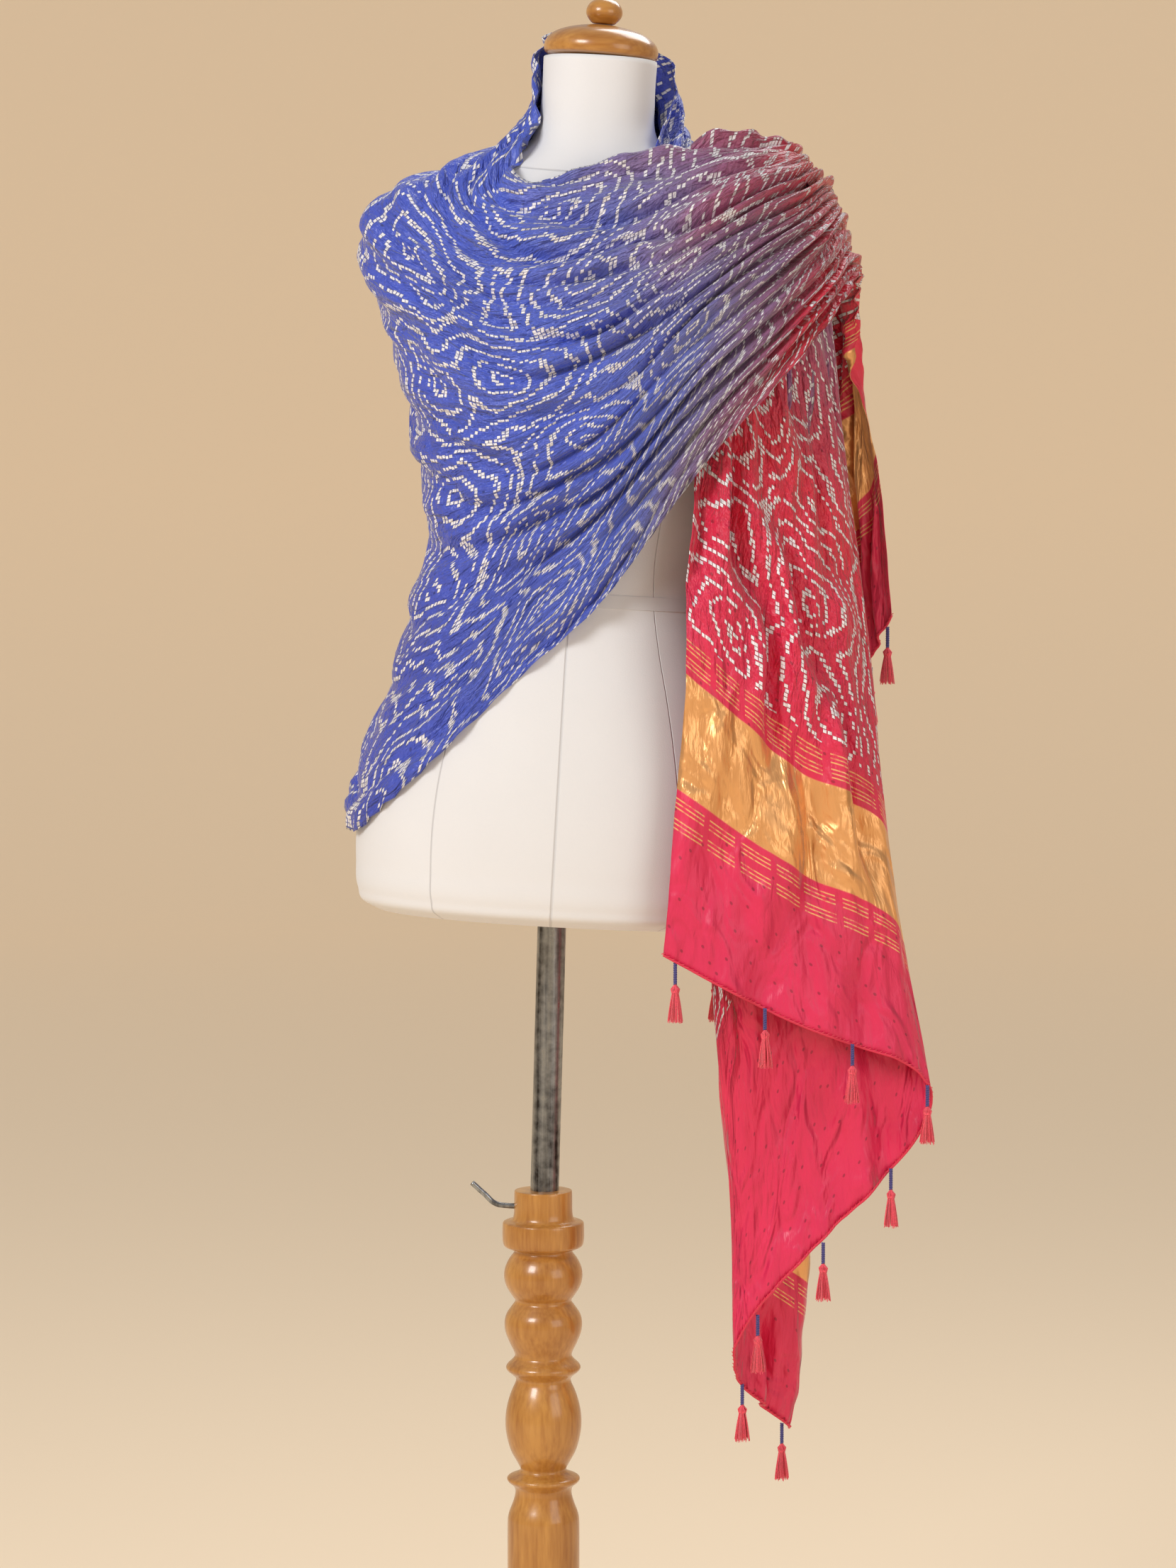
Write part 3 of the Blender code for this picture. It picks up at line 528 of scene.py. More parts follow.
pole_top = (POLE_LENGTH * math.sin(POLE_LEAN), 0.0, POLE_FOOT + POLE_LENGTH * math.cos(POLE_LEAN))
pole = tube("steel_pole", ((0.0, 0.0, POLE_FOOT), pole_top), POLE_RADIUS, POLE_SIDES, steel)
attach(pole, "root")
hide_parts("pole")
lever = tube("bent_lever", [(x, 0.0, z) for x, z in LEVER_ROUTE], LEVER_RADIUS, 16, steel)
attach(lever, "root")
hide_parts("clamp_lever")

# Bandhani cloth.
# One rectangle of silk satin, tied in thousands of tiny knots and dyed, which leaves dotted lines and fine
# puckers. Each end has a woven gold band between thin gold stripes. It rests on the form by friction.
CLOTH_WIDTH, CLOTH_LENGTH = 0.70, 2.46
CLOTH_THICKNESS = 0.0005
CLOTH_ROWS = 336
CLOTH_COLUMNS = (50, 51, 40)
FOLD_SHARES = (0.38, 0.76)
FOLD_CROWDING = 0.25
SECTION_SAMPLES = 480
FOLD_ROUNDING = 0.018
FRONT_SHARE = 0.30
FOLD_SOFTENING = 60
CHEST = {"share": 0.68, "spread": 0.05, "passes": 50}
FORM_CLEARANCE = 0.0010
# Front end, from its hem up to the shoulder. A row is a section: lower selvedge, right fold, left fold
# and upper selvedge, each as x, y, z.
FRONT_END = (
    ((0.099, -0.125, 0.827), (0.325, -0.050, 0.704), (0.163, -0.035, 0.491), (0.212, 0.060, 0.398)),
    ((0.105, -0.127, 0.915), (0.308, -0.046, 0.800), (0.160, -0.050, 0.610), (0.222, 0.035, 0.495)),
    ((0.115, -0.128, 1.022), (0.286, -0.040, 0.933), (0.148, -0.068, 0.745), (0.224, 0.014, 0.600)),
    ((0.117, -0.126, 1.088), (0.276, -0.034, 1.053), (0.138, -0.086, 0.865), (0.226, -0.004, 0.760)),
    ((0.120, -0.117, 1.157), (0.266, -0.030, 1.155), (0.150, -0.088, 1.010), (0.228, -0.018, 0.955)),
    ((0.127, -0.108, 1.223), (0.256, -0.028, 1.239), (0.160, -0.076, 1.142), (0.220, -0.026, 1.110)),
    ((0.130, -0.105, 1.305), (0.246, -0.034, 1.322), (0.168, -0.081, 1.258), (0.198, -0.047, 1.250)),
    ((0.117, -0.103, 1.396), (0.237, -0.036, 1.392), (0.165, -0.080, 1.385), (0.128, -0.096, 1.385)),
)
FRONT_BULGE = (0.020, 0.022, 0.022, 0.022, 0.020, 0.020, 0.020, 0.016)
FIRST_SHOULDER = (
    ((0.156, -0.085, 1.446), (0.233, -0.034, 1.424), (0.158, -0.064, 1.434), (0.108, -0.076, 1.438)),
    ((0.194, -0.046, 1.462), (0.229, -0.022, 1.428), (0.155, -0.032, 1.461), (0.093, -0.047, 1.478)),
    ((0.221, -0.010, 1.452), (0.207, -0.004, 1.436), (0.148, -0.010, 1.469), (0.094, -0.028, 1.492)),
    ((0.233, 0.018, 1.410), (0.194, 0.014, 1.448), (0.141, 0.012, 1.474), (0.099, -0.002, 1.512)),
    ((0.226, 0.052, 1.382), (0.186, 0.050, 1.438), (0.134, 0.044, 1.476), (0.101, 0.024, 1.545)),
)
# Round the form. Rows are: turn and height of the lower selvedge, turn and height of the upper
# selvedge, lift off the form.
WRAP = (
    (52.0, 0.480, 62.0, 0.734, 0.013),
    (74.0, 0.408, 84.0, 0.740, 0.010),
    (98.0, 0.325, 107.0, 0.742, 0.009),
    (125.0, 0.235, 132.0, 0.738, 0.008),
    (158.0, 0.130, 156.0, 0.725, 0.007),
    (188.0, 0.064, 180.0, 0.706, 0.0050),
    (212.0, 0.085, 200.0, 0.676, 0.0049),
    (232.0, 0.125, 220.0, 0.640, 0.0050),
    (248.0, 0.175, 238.0, 0.612, 0.0046),
    (264.0, 0.222, 253.0, 0.600, 0.010),
    (280.0, 0.262, 268.0, 0.610, 0.015),
    (292.0, 0.306, 279.0, 0.620, 0.020),
)
CROSSING = (
    ((0.135, -0.136, 1.238), (0.111, -0.147, 1.319), (0.093, -0.124, 1.401), (0.083, -0.070, 1.474)),
    ((0.169, -0.138, 1.263), (0.147, -0.145, 1.345), (0.129, -0.126, 1.420), (0.115, -0.060, 1.487)),
    ((0.199, -0.128, 1.301), (0.184, -0.126, 1.377), (0.168, -0.104, 1.446), (0.150, -0.042, 1.492)),
    ((0.232, -0.100, 1.340), (0.220, -0.092, 1.404), (0.202, -0.064, 1.458), (0.177, -0.014, 1.492)),
    ((0.258, -0.030, 1.380), (0.247, -0.010, 1.434), (0.228, 0.006, 1.470), (0.203, 0.018, 1.488)),
)
BACK_END = (
    ((0.260, 0.024, 1.357), (0.248, 0.054, 1.412), (0.225, 0.070, 1.446), (0.190, 0.078, 1.468)),
    ((0.268, 0.048, 1.299), (0.250, 0.088, 1.325), (0.215, 0.108, 1.338), (0.165, 0.118, 1.352)),
    ((0.284, 0.052, 1.213), (0.255, 0.104, 1.170), (0.208, 0.134, 1.125), (0.152, 0.134, 1.085)),
    ((0.295, 0.058, 1.097), (0.252, 0.114, 0.997), (0.200, 0.146, 0.888), (0.142, 0.136, 0.779)),
)
NECK_BRIDGE = {"height": 0.640, "tall": 0.024, "lift": 0.010}
HIP_BRIDGE = {"height": 0.255, "tall": 0.030, "lift": 0.010}
# Folds along the cloth. Rows are: share of the length, least depth, greatest depth, folds across the
# width. Between the two, a fold is as deep as the drawn-in width needs.
PLEATS = (
    (0.00, 0.0045, 0.0060, 5.0),
    (0.14, 0.0040, 0.0080, 7.0),
    (0.24, 0.0025, 0.0070, 11.0),
    (0.36, 0.0015, 0.0085, 14.0),
    (0.44, 0.0015, 0.0115, 14.0),
    (0.55, 0.0030, 0.0060, 11.0),
    (0.64, 0.0025, 0.0100, 14.0),
    (0.72, 0.0025, 0.0110, 15.0),
    (0.80, 0.0025, 0.0100, 15.0),
    (0.88, 0.0025, 0.0125, 13.0),
    (1.00, 0.0050, 0.0170, 10.0),
)
# Off the front end the folds are broad crests with narrow valleys.
CREST, VALLEY_WIDTH = 0.40, 0.19
# Crinkles in all directions. Rows are: wavelength along the length, across the width, depth.
CRINKLES = ((0.300, 0.060, 0.0022), (0.140, 0.034, 0.0012), (0.060, 0.022, 0.0007))
WAVES_PER_CRINKLE = 9
FLUTTER = {"reach": 0.026, "depth": 0.0026, "wave": 0.030}
# Beside the front end, the back end's outer edge hangs flat and turns its face to the front.
FLAT_EDGE = {"from": 0.845, "soft": 0.010, "reach": 0.14, "calm": 0.90}


def column_shares(columns):
    """Shares of the width at the grid's columns. They crowd together at the two folds."""
    stops = (0.0, *FOLD_SHARES, 1.0)
    shares = [0.0]
    for number, (start, stop, count) in enumerate(zip(stops, stops[1:], columns)):
        u = np.arange(1, count + 1) / count
        ease = (
            np.sin(np.pi / 2 * u),
            (1 - np.cos(np.pi * u)) / 2,
            1 - np.cos(np.pi / 2 * u),
        )[number]
        shares += list(start + (stop - start) * (FOLD_CROWDING * ease + (1 - FOLD_CROWDING) * u))
    return np.array(shares)


def read_off(points, shares):
    """Points of a line at shares of its length."""
    run = np.concatenate([[0.0], np.cumsum(np.linalg.norm(np.diff(points, axis=0), axis=1))])
    return np.stack([np.interp(shares * run[-1], run, points[:, axis]) for axis in range(3)], axis=1)


def free_section(row, shares, bulge=0.0):
    """A section through the row's points, with its folds rounded and its columns kept to the folds."""
    corners = np.array(row)
    middle = (corners[0] + corners[1]) / 2 - (0.0, bulge, 0.0)
    corners = np.insert(corners, 1, middle, axis=0)
    away = corners[2:4] - (corners[[0, 2]] + corners[[3, 4]]) / 2
    corners[2:4] += away / np.linalg.norm(away, axis=1, keepdims=True) * min(bulge, FOLD_ROUNDING) / 2
    run = np.concatenate([[0.0], np.cumsum(np.sqrt(np.linalg.norm(np.diff(corners, axis=0), axis=1)))])
    even = np.linspace(0.0, 1.0, SECTION_SAMPLES)
    line = read_off(hermite(run, corners, even * run[-1]), even)
    folds = [int(np.argmin(np.linalg.norm(line - corner, axis=1))) for corner in corners[2:4]]
    step = np.linalg.norm(line[1] - line[0])
    for _ in range(int(2 * (FOLD_ROUNDING / step) ** 2)):
        line[1:-1] = (line[:-2] + 2 * line[1:-1] + line[2:]) / 4
    own_folds = np.array(folds) / (SECTION_SAMPLES - 1)
    return read_off(line, np.interp(shares, (0.0, *FOLD_SHARES, 1.0), (0.0, *own_folds, 1.0)))


def wrap_section(row, shares):
    """A section that lies on the form, from the lower selvedge to the upper one."""
    even = np.linspace(0.0, 1.0, SECTION_SAMPLES)
    low_turn, low_height, up_turn, up_height, lift = row
    turn = low_turn + (up_turn - low_turn) * even
    height = low_height + (up_height - low_height) * even
    lift = lift + NECK_BRIDGE["lift"] * bump(height, NECK_BRIDGE["height"], NECK_BRIDGE["tall"])
    side = bump(turn, 190.0, 30.0)
    lift = lift + HIP_BRIDGE["lift"] * side * bump(height, HIP_BRIDGE["height"], HIP_BRIDGE["tall"])
    return read_off(over_form(turn, height, lift), shares)


def grid_normals(grid):
    """Normals of a grid of points, pointing to the cloth's reverse side."""
    normals = np.cross(np.gradient(grid, axis=0), np.gradient(grid, axis=1))
    return normals / np.linalg.norm(normals, axis=2, keepdims=True)


def softened(values, passes, weight=1.0):
    """Grid values averaged with their neighbours', again and again."""
    for _ in range(passes):
        for axis in (0, 1):
            spread = np.moveaxis(values, axis, 0)
            mean = (spread[:-2] + spread[2:]) / 2
            spread[1:-1] += 0.5 * weight * (mean - spread[1:-1])
    return values


shares = column_shares(CLOTH_COLUMNS)
halves = np.arange(0.0, len(WRAP) - 0.99, 0.5)
sections = [free_section(row, shares, bulge) for row, bulge in zip(FRONT_END, FRONT_BULGE)]
sections += [free_section(row, shares) for row in FIRST_SHOULDER]
sections += [wrap_section(row, shares) for row in hermite(np.arange(len(WRAP)), np.array(WRAP), halves)]
sections += [free_section(row, shares) for row in CROSSING + BACK_END]
sections = np.array(sections)
steps = np.linalg.norm(np.diff(sections, axis=0), axis=2).mean(axis=1)
knots = np.concatenate([[0.0], np.cumsum(steps)])
lengths = np.linspace(0.0, 1.0, CLOTH_ROWS + 1)
grid = hermite(knots, sections, lengths * knots[-1])
in_front = 1.0 / (1.0 + np.exp((lengths - FRONT_SHARE) / 0.01))
for _ in range(FOLD_SOFTENING):
    grid[:, 1:-1] += 0.5 * in_front[:, None, None] * ((grid[:, :-2] + grid[:, 2:]) / 2 - grid[:, 1:-1])

# Over the chest the cloth leaves the form in one soft curve.
over_chest = bump(lengths[1:-1], CHEST["share"], CHEST["spread"])[:, None, None]
for _ in range(CHEST["passes"]):
    grid[1:-1] += 0.5 * over_chest * ((grid[:-2] + grid[2:]) / 2 - grid[1:-1])

# Where each point lies on the flat cloth. Each thread is as long as the cloth.
run = np.concatenate([np.zeros((1, len(shares))), np.cumsum(np.linalg.norm(np.diff(grid, axis=0), axis=2), axis=0)])
down = run / run[-1] * CLOTH_LENGTH
across = np.broadcast_to(shares * CLOTH_WIDTH, down.shape)

# The folds follow the threads. Where the cloth is drawn together they run closer and deeper.
pleat = along(PLEATS, lengths)
phase = pleat[:, 2:3] * shares[None, :] + 0.15 * np.sin(9.0 * lengths)[:, None]
phase = phase + 0.28 * np.sin(2 * np.pi * (2.3 * shares[None, :] + 3.7 * lengths[:, None]))
phase = phase + 0.16 * np.sin(2 * np.pi * (5.1 * shares[None, :] - 8.3 * lengths[:, None] + 0.4))
folded = 1.0 / (1.0 + np.exp((lengths - 0.36) / 0.02))
soft_wave = np.cos(2 * np.pi * phase) + 0.28 * np.cos(4 * np.pi * phase + 1.1)
narrow_valley = CREST - (1.0 + CREST) * bump(phase % 1.0, 0.5, VALLEY_WIDTH)
wave = folded[:, None] * soft_wave + (1.0 - folded[:, None]) * narrow_valley
free_of_folds = 1.0 - np.outer(folded, sum(bump(shares, fold, 0.09) for fold in FOLD_SHARES))
slopes = np.linspace(0.0, 6.0, 61)
circle = np.linspace(0.0, 2 * np.pi, 181)
longer = np.sqrt(1 + (slopes[:, None] * np.cos(circle)[None, :]) ** 2).mean(axis=1)
drawn_in = np.linalg.norm(np.diff(grid, axis=1), axis=2).sum(axis=1)
needed = np.interp(CLOTH_WIDTH / drawn_in, longer, slopes) * drawn_in / (2 * np.pi * pleat[:, 2])
pleat_depth = np.clip(needed, pleat[:, 0], pleat[:, 1])
uneven = 0.95 + 0.38 * np.sin(2 * np.pi * (3.4 * shares[None, :] + 5.2 * lengths[:, None]))
uneven = uneven + 0.30 * np.sin(2 * np.pi * (7.7 * shares[None, :] - 2.6 * lengths[:, None] + 0.3))
depth = pleat_depth[:, None] * uneven * wave * free_of_folds
chance = np.random.default_rng(7)
for long_wave, short_wave, height in CRINKLES:
    for _ in range(WAVES_PER_CRINKLE):
        slant = chance.uniform(-1.0, 1.0) / long_wave
        turns_across = chance.uniform(0.6, 1.3) / short_wave
        ripple = np.sin(2 * np.pi * (across * turns_across + down * slant + chance.uniform()))
        depth += height / math.sqrt(WAVES_PER_CRINKLE) * ripple * (0.4 + 0.6 * free_of_folds)
for edge in (0.0, 1.0):
    near_edge = np.exp(-np.abs(shares - edge) * CLOTH_WIDTH / FLUTTER["reach"])
    run = down / FLUTTER["wave"] + 0.6 * np.sin(down * 17.0 + edge)
    depth += FLUTTER["depth"] * near_edge[None, :] * np.sin(2 * np.pi * run) * (1.0 - 0.7 * folded[:, None])
hung = 1.0 / (1.0 + np.exp((FLAT_EDGE["from"] - lengths) / FLAT_EDGE["soft"]))
depth *= 1.0 - FLAT_EDGE["calm"] * np.outer(hung, bump(shares, 0.0, FLAT_EDGE["reach"]))
grid = grid + softened(grid_normals(grid), 6) * depth[..., None]

# Where a fold would dip into the form, it lies on the form.
form_tree = BVHTree.FromPolygons([Vector(point) for point in form_points], form_faces)
normals = softened(grid_normals(grid), 3)
for row in range(CLOTH_ROWS + 1):
    for column in range(len(shares)):
        place, outward, _, gap = form_tree.find_nearest(Vector(grid[row, column]))
        away = Vector(grid[row, column]) - place
        height = gap if away.dot(outward) > 0 else -gap
        if height < FORM_CLEARANCE and lengths[row] > 0.2:
            grid[row, column] = place + outward * FORM_CLEARANCE

normals = softened(grid_normals(grid), 3)
high, wide = grid.shape[:2]
reverse_side = (grid + normals * CLOTH_THICKNESS / 2).reshape(-1, 3)
face_side = (grid - normals * CLOTH_THICKNESS / 2).reshape(-1, 3)
count = len(reverse_side)
index = np.arange(count).reshape(high, wide)
corners = [index[:-1, :-1].ravel(), index[1:, :-1].ravel(), index[1:, 1:].ravel(), index[:-1, 1:].ravel()]
a, b, c, d = corners
reverse_faces = np.concatenate([np.stack([a, b, c], 1), np.stack([a, c, d], 1)])
front_faces = np.concatenate([np.stack([c, b, a], 1), np.stack([d, c, a], 1)]) + count
border = np.concatenate([index[0, :], index[1:, -1], index[-1, -2::-1], index[-2:0:-1, 0]])
after = np.roll(border, -1)
edge_faces = np.concatenate(
    [np.stack([border, after, after + count], 1), np.stack([border, after + count, border + count], 1)]
)
cloth_faces = np.concatenate([reverse_faces, front_faces, edge_faces]).tolist()
cloth_uv = np.stack([across, down], axis=-1).reshape(-1, 2)

# Dye, with painted shade and painted light in the blue: stops are metres from the front hem and a colour.
DYE_AND_PAINTED_LIGHT_STOPS = (
    (0.00, (0.74, 0.022, 0.108, 1.0)),
    (0.30, (0.70, 0.021, 0.080, 1.0)),
    (0.48, (0.68, 0.024, 0.062, 1.0)),
    (0.57, (0.52, 0.060, 0.125, 1.0)),
    (0.66, (0.36, 0.105, 0.210, 1.0)),
    (0.78, (0.210, 0.130, 0.350, 1.0)),
    (0.92, (0.060, 0.095, 0.580, 1.0)),
    # Painted shade: the blue is darker here.
    (1.28, (0.048, 0.075, 0.500, 1.0)),
    # Painted light: the blue is lighter here.
    (1.60, (0.080, 0.130, 0.620, 1.0)),
    (1.665, (0.130, 0.150, 0.490, 1.0)),
    (1.73, (0.230, 0.155, 0.330, 1.0)),
    (1.80, (0.370, 0.085, 0.165, 1.0)),
    (1.865, (0.600, 0.022, 0.050, 1.0)),
    (2.10, (0.72, 0.024, 0.070, 1.0)),
    (2.46, (0.74, 0.022, 0.108, 1.0)),
)
# Past the middle the dye was dipped at a slant: metres along the cloth for each metre across it.
DYE_SLANT, SLANT_FROM, SLANT_TO = 0.43, 1.15, 1.45
DOT_COLOUR = (0.93, 0.92, 0.97, 1.0)
GOLD_COLOUR = (0.84, 0.43, 0.17, 1.0)
# Distances from each hem, in metres.
GOLD_BAND = (0.132, 0.222)
STRIPE_GROUPS = ((0.100, 0.0036), (0.1160, 0.0036), (0.2270, 0.0036), (0.2400, 0.0036))
STRIPES_PER_GROUP = 3
TIED_FROM = 0.256
DOT_PITCH = 0.0036
MOTIF_PITCH = 0.125
LINE_SPACING = 0.0140


def between(tree, value, low, high, soft=0.0006):
    """1 where the value lies between low and high, with soft edges."""
    rise = add_node(tree, "ShaderNodeMapRange", {0: value, 1: low - soft, 2: low + soft}).outputs[0]
    fall = add_node(tree, "ShaderNodeMapRange", {0: value, 1: high - soft, 2: high + soft}).outputs[0]
    return maths(tree, "SUBTRACT", rise, fall)


def mix_colour(tree, factor, first, second):
    made = add_node(tree, "ShaderNodeMix", {0: factor, 6: first, 7: second}, data_type="RGBA")
    return made.outputs[2]


def silk(name, is_face):
    """Dyed silk satin. Only its face shows the gold."""
    made, tree, shader = new_material(name)
    flat = add_node(tree, "ShaderNodeUVMap", uv_map="UVMap").outputs[0]
    place = add_node(tree, "ShaderNodeSeparateXYZ", {0: flat})
    across_socket, down_socket = place.outputs[0], place.outputs[1]
    cloud = add_node(tree, "ShaderNodeTexNoise", {"Vector": flat, "Scale": 11.0, "Detail": 3.0}).outputs[0]

    # Dye, with an uneven front where one bath meets the next, and with painted shade and painted light in its blue.
    wobble = maths(tree, "MULTIPLY", maths(tree, "SUBTRACT", cloud, 0.5), 0.10)
    slant = add_node(tree, "ShaderNodeMapRange", {0: down_socket, 1: SLANT_FROM, 2: SLANT_TO, 4: DYE_SLANT}).outputs[0]
    shift = maths(tree, "MULTIPLY_ADD", maths(tree, "SUBTRACT", across_socket, CLOTH_WIDTH / 2), slant, wobble)
    dye_place = maths(tree, "DIVIDE", maths(tree, "ADD", down_socket, shift), CLOTH_LENGTH)
    dye_and_painted_light = add_node(tree, "ShaderNodeValToRGB", {0: dye_place})
    elements = dye_and_painted_light.color_ramp.elements
    for number, (metres, colour) in enumerate(DYE_AND_PAINTED_LIGHT_STOPS):
        if number > 1:
            elements.new(metres / CLOTH_LENGTH)
        elements[min(number, len(elements) - 1)].position = metres / CLOTH_LENGTH
    for number, (metres, colour) in enumerate(DYE_AND_PAINTED_LIGHT_STOPS):
        elements[number].position = metres / CLOTH_LENGTH
        elements[number].color = colour
    blotch = maths(tree, "MULTIPLY_ADD", cloud, 0.40, 0.80)
    dyed_with_painted_light = add_node(tree, "ShaderNodeVectorMath", {0: dye_and_painted_light.outputs[0], "Scale": blotch}, operation="SCALE").outputs[0]

    # Tied dots: cells of a jittered net count when their middle lies near a contour line.
    net = add_node(
        tree,
        "ShaderNodeTexVoronoi",
        {"Vector": flat, "Scale": 1.0 / DOT_PITCH, "Randomness": 0.30},
        voronoi_dimensions="2D",
        distance="CHEBYCHEV",
    )
    middle = net.outputs["Position"]
    for scale, reach in ((14.0, 0.060), (30.0, 0.022)):
        push = add_node(tree, "ShaderNodeTexNoise", {"Vector": middle, "Scale": scale, "Detail": 1.0}).outputs["Color"]
        push = add_node(tree, "ShaderNodeVectorMath", {0: push, 1: (0.5, 0.5, 0.5)}, operation="SUBTRACT").outputs[0]
        middle = add_node(
            tree, "ShaderNodeVectorMath", {0: push, 1: (reach, reach, 0.0), 2: middle}, operation="MULTIPLY_ADD"
        ).outputs[0]
    motif = add_node(
        tree,
        "ShaderNodeTexVoronoi",
        {"Vector": middle, "Scale": 1.0 / MOTIF_PITCH, "Randomness": 0.7, "Smoothness": 0.10, "Exponent": 2.8},
        voronoi_dimensions="2D",
        feature="SMOOTH_F1",
        distance="MINKOWSKI",
    )
    rings = maths(tree, "MULTIPLY", motif.outputs["Distance"], MOTIF_PITCH / LINE_SPACING)
    from_line = maths(tree, "ABSOLUTE", maths(tree, "SUBTRACT", maths(tree, "FRACT", rings), 0.5))
    on_line = maths(tree, "LESS_THAN", from_line, 0.135)
    square = add_node(tree, "ShaderNodeMapRange", {0: net.outputs["Distance"], 1: 0.46, 2: 0.37}).outputs[0]
    hem_gap = maths(tree, "MINIMUM", down_socket, maths(tree, "SUBTRACT", CLOTH_LENGTH, down_socket))
    tied = maths(tree, "GREATER_THAN", hem_gap, TIED_FROM)
    dots = maths(tree, "MULTIPLY", maths(tree, "MULTIPLY", on_line, square), tied)
    colour = mix_colour(tree, dots, dyed_with_painted_light, DOT_COLOUR)

    # Small dark tie marks in the plain ends.
    marks = add_node(
        tree, "ShaderNodeTexVoronoi", {"Vector": flat, "Scale": 45.0, "Randomness": 0.8}, voronoi_dimensions="2D"
    ).outputs["Distance"]
    marks = add_node(tree, "ShaderNodeMapRange", {0: marks, 1: 0.045, 2: 0.075, 3: 0.55, 4: 1.0}).outputs[0]
    colour = add_node(tree, "ShaderNodeVectorMath", {0: colour, "Scale": marks}, operation="SCALE").outputs[0]

    # Gold: the band, and thin dashed stripes on both sides of it.
    fine = add_node(tree, "ShaderNodeTexNoise", {"Vector": flat, "Scale": 170.0, "Detail": 2.0}).outputs[0]
    gold = between(tree, hem_gap, *GOLD_BAND)
    dash = maths(tree, "FRACT", maths(tree, "DIVIDE", across_socket, 0.034))
    dash = maths(tree, "LESS_THAN", dash, 0.82)
    stripes = None
    for start, pitch in STRIPE_GROUPS:
        count_up = maths(tree, "DIVIDE", maths(tree, "SUBTRACT", hem_gap, start), pitch)
        inside = between(tree, count_up, 0.0, float(STRIPES_PER_GROUP), 0.01)
        off = maths(tree, "ABSOLUTE", maths(tree, "SUBTRACT", maths(tree, "FRACT", count_up), 0.5))
        thread = maths(tree, "MULTIPLY", maths(tree, "LESS_THAN", off, 0.17), inside)
        stripes = thread if stripes is None else maths(tree, "MAXIMUM", stripes, thread)
    worn = add_node(tree, "ShaderNodeMapRange", {0: fine, 1: 0.38, 2: 0.52, 3: 0.25, 4: 1.0}).outputs[0]
    stripes = maths(tree, "MULTIPLY", maths(tree, "MULTIPLY", stripes, dash), worn)
    sheen_cloud = add_node(
        tree,
        "ShaderNodeTexNoise",
        {"Vector": add_node(tree, "ShaderNodeMapping", {"Vector": flat, "Scale": (55.0, 9.0, 1.0)}).outputs[0],
         "Scale": 1.0, "Detail": 3.0},
    ).outputs[0]
    metal = maths(tree, "MAXIMUM", gold, stripes)
    if is_face:
        colour = mix_colour(tree, metal, colour, GOLD_COLOUR)
        tree.links.new(maths(tree, "MULTIPLY", gold, 0.6), shader.inputs["Metallic"])
        streaks = add_node(tree, "ShaderNodeMapRange", {0: sheen_cloud, 1: 0.35, 2: 0.70, 3: 0.26, 4: 0.42}).outputs[0]
        roughness = add_node(tree, "ShaderNodeMix", {0: metal, 2: 0.46, 3: streaks}).outputs[0]
        tree.links.new(roughness, shader.inputs["Roughness"])
    else:
        shader.inputs["Roughness"].default_value = 0.40
    tree.links.new(colour, shader.inputs["Base Color"])
    shader.inputs["Sheen Weight"].default_value = 0.25
    shader.inputs["Sheen Roughness"].default_value = 0.35

    # Puckers round the knots, fine crinkles between them, and soft creases in the satin ends.
    creased = add_node(
        tree,
        "ShaderNodeTexNoise",
        {"Vector": add_node(tree, "ShaderNodeMapping", {"Vector": flat, "Scale": (150.0, 42.0, 1.0)}).outputs[0],
         "Scale": 1.0, "Detail": 3.0, "Distortion": 0.6},
    ).outputs[0]
    pucker = maths(tree, "MULTIPLY_ADD", dots, 0.35, maths(tree, "MULTIPLY", fine, 0.6))
    crumpled = add_node(
        tree,
        "ShaderNodeTexNoise",
        {"Vector": add_node(tree, "ShaderNodeMapping", {"Vector": flat, "Scale": (30.0, 17.0, 1.0)}).outputs[0],
         "Scale": 1.0, "Detail": 2.0, "Roughness": 0.40, "Distortion": 1.0},
    ).outputs[0]
    tightness = add_node(tree, "ShaderNodeMapRange", {0: hem_gap, 1: TIED_FROM - 0.03, 2: TIED_FROM + 0.03}).outputs[0]
    pucker = maths(tree, "MULTIPLY", pucker, tightness)
    creased = maths(tree, "MULTIPLY", creased, maths(tree, "MULTIPLY_ADD", tightness, 1.3, 0.3))
    crumpled = maths(tree, "MULTIPLY", crumpled, maths(tree, "MULTIPLY_ADD", tightness, -1.5, 2.6))
    relief = maths(tree, "ADD", maths(tree, "ADD", pucker, creased), crumpled)
    crinkle = add_node(tree, "ShaderNodeBump", {"Strength": 1.0, "Distance": 0.0050, "Height": relief})
    tree.links.new(crinkle.outputs[0], shader.inputs["Normal"])
    return made


cloth = add_piece(
    "silk_cloth", np.concatenate([reverse_side, face_side]), cloth_faces, silk("silk_reverse", False), silk("silk_face", True)
)
sides = np.zeros(len(cloth_faces), np.int32)
sides[len(reverse_faces) :] = 1
cloth.data.polygons.foreach_set("material_index", sides)
set_uv(cloth, np.concatenate([cloth_uv, cloth_uv]))
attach(cloth, "root")
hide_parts("bandhani_cloth")

# Rolled hems.
# Each cut end is rolled in a thin roll and held by small slanting stitches of pink thread.
HEM_RADIUS = 0.0011
STITCH = {"spacing": 0.0045, "radius": 0.00035, "length": 0.0034, "tilt": math.radians(35.0)}
HEM_COLOUR = (0.72, 0.030, 0.085, 1.0)


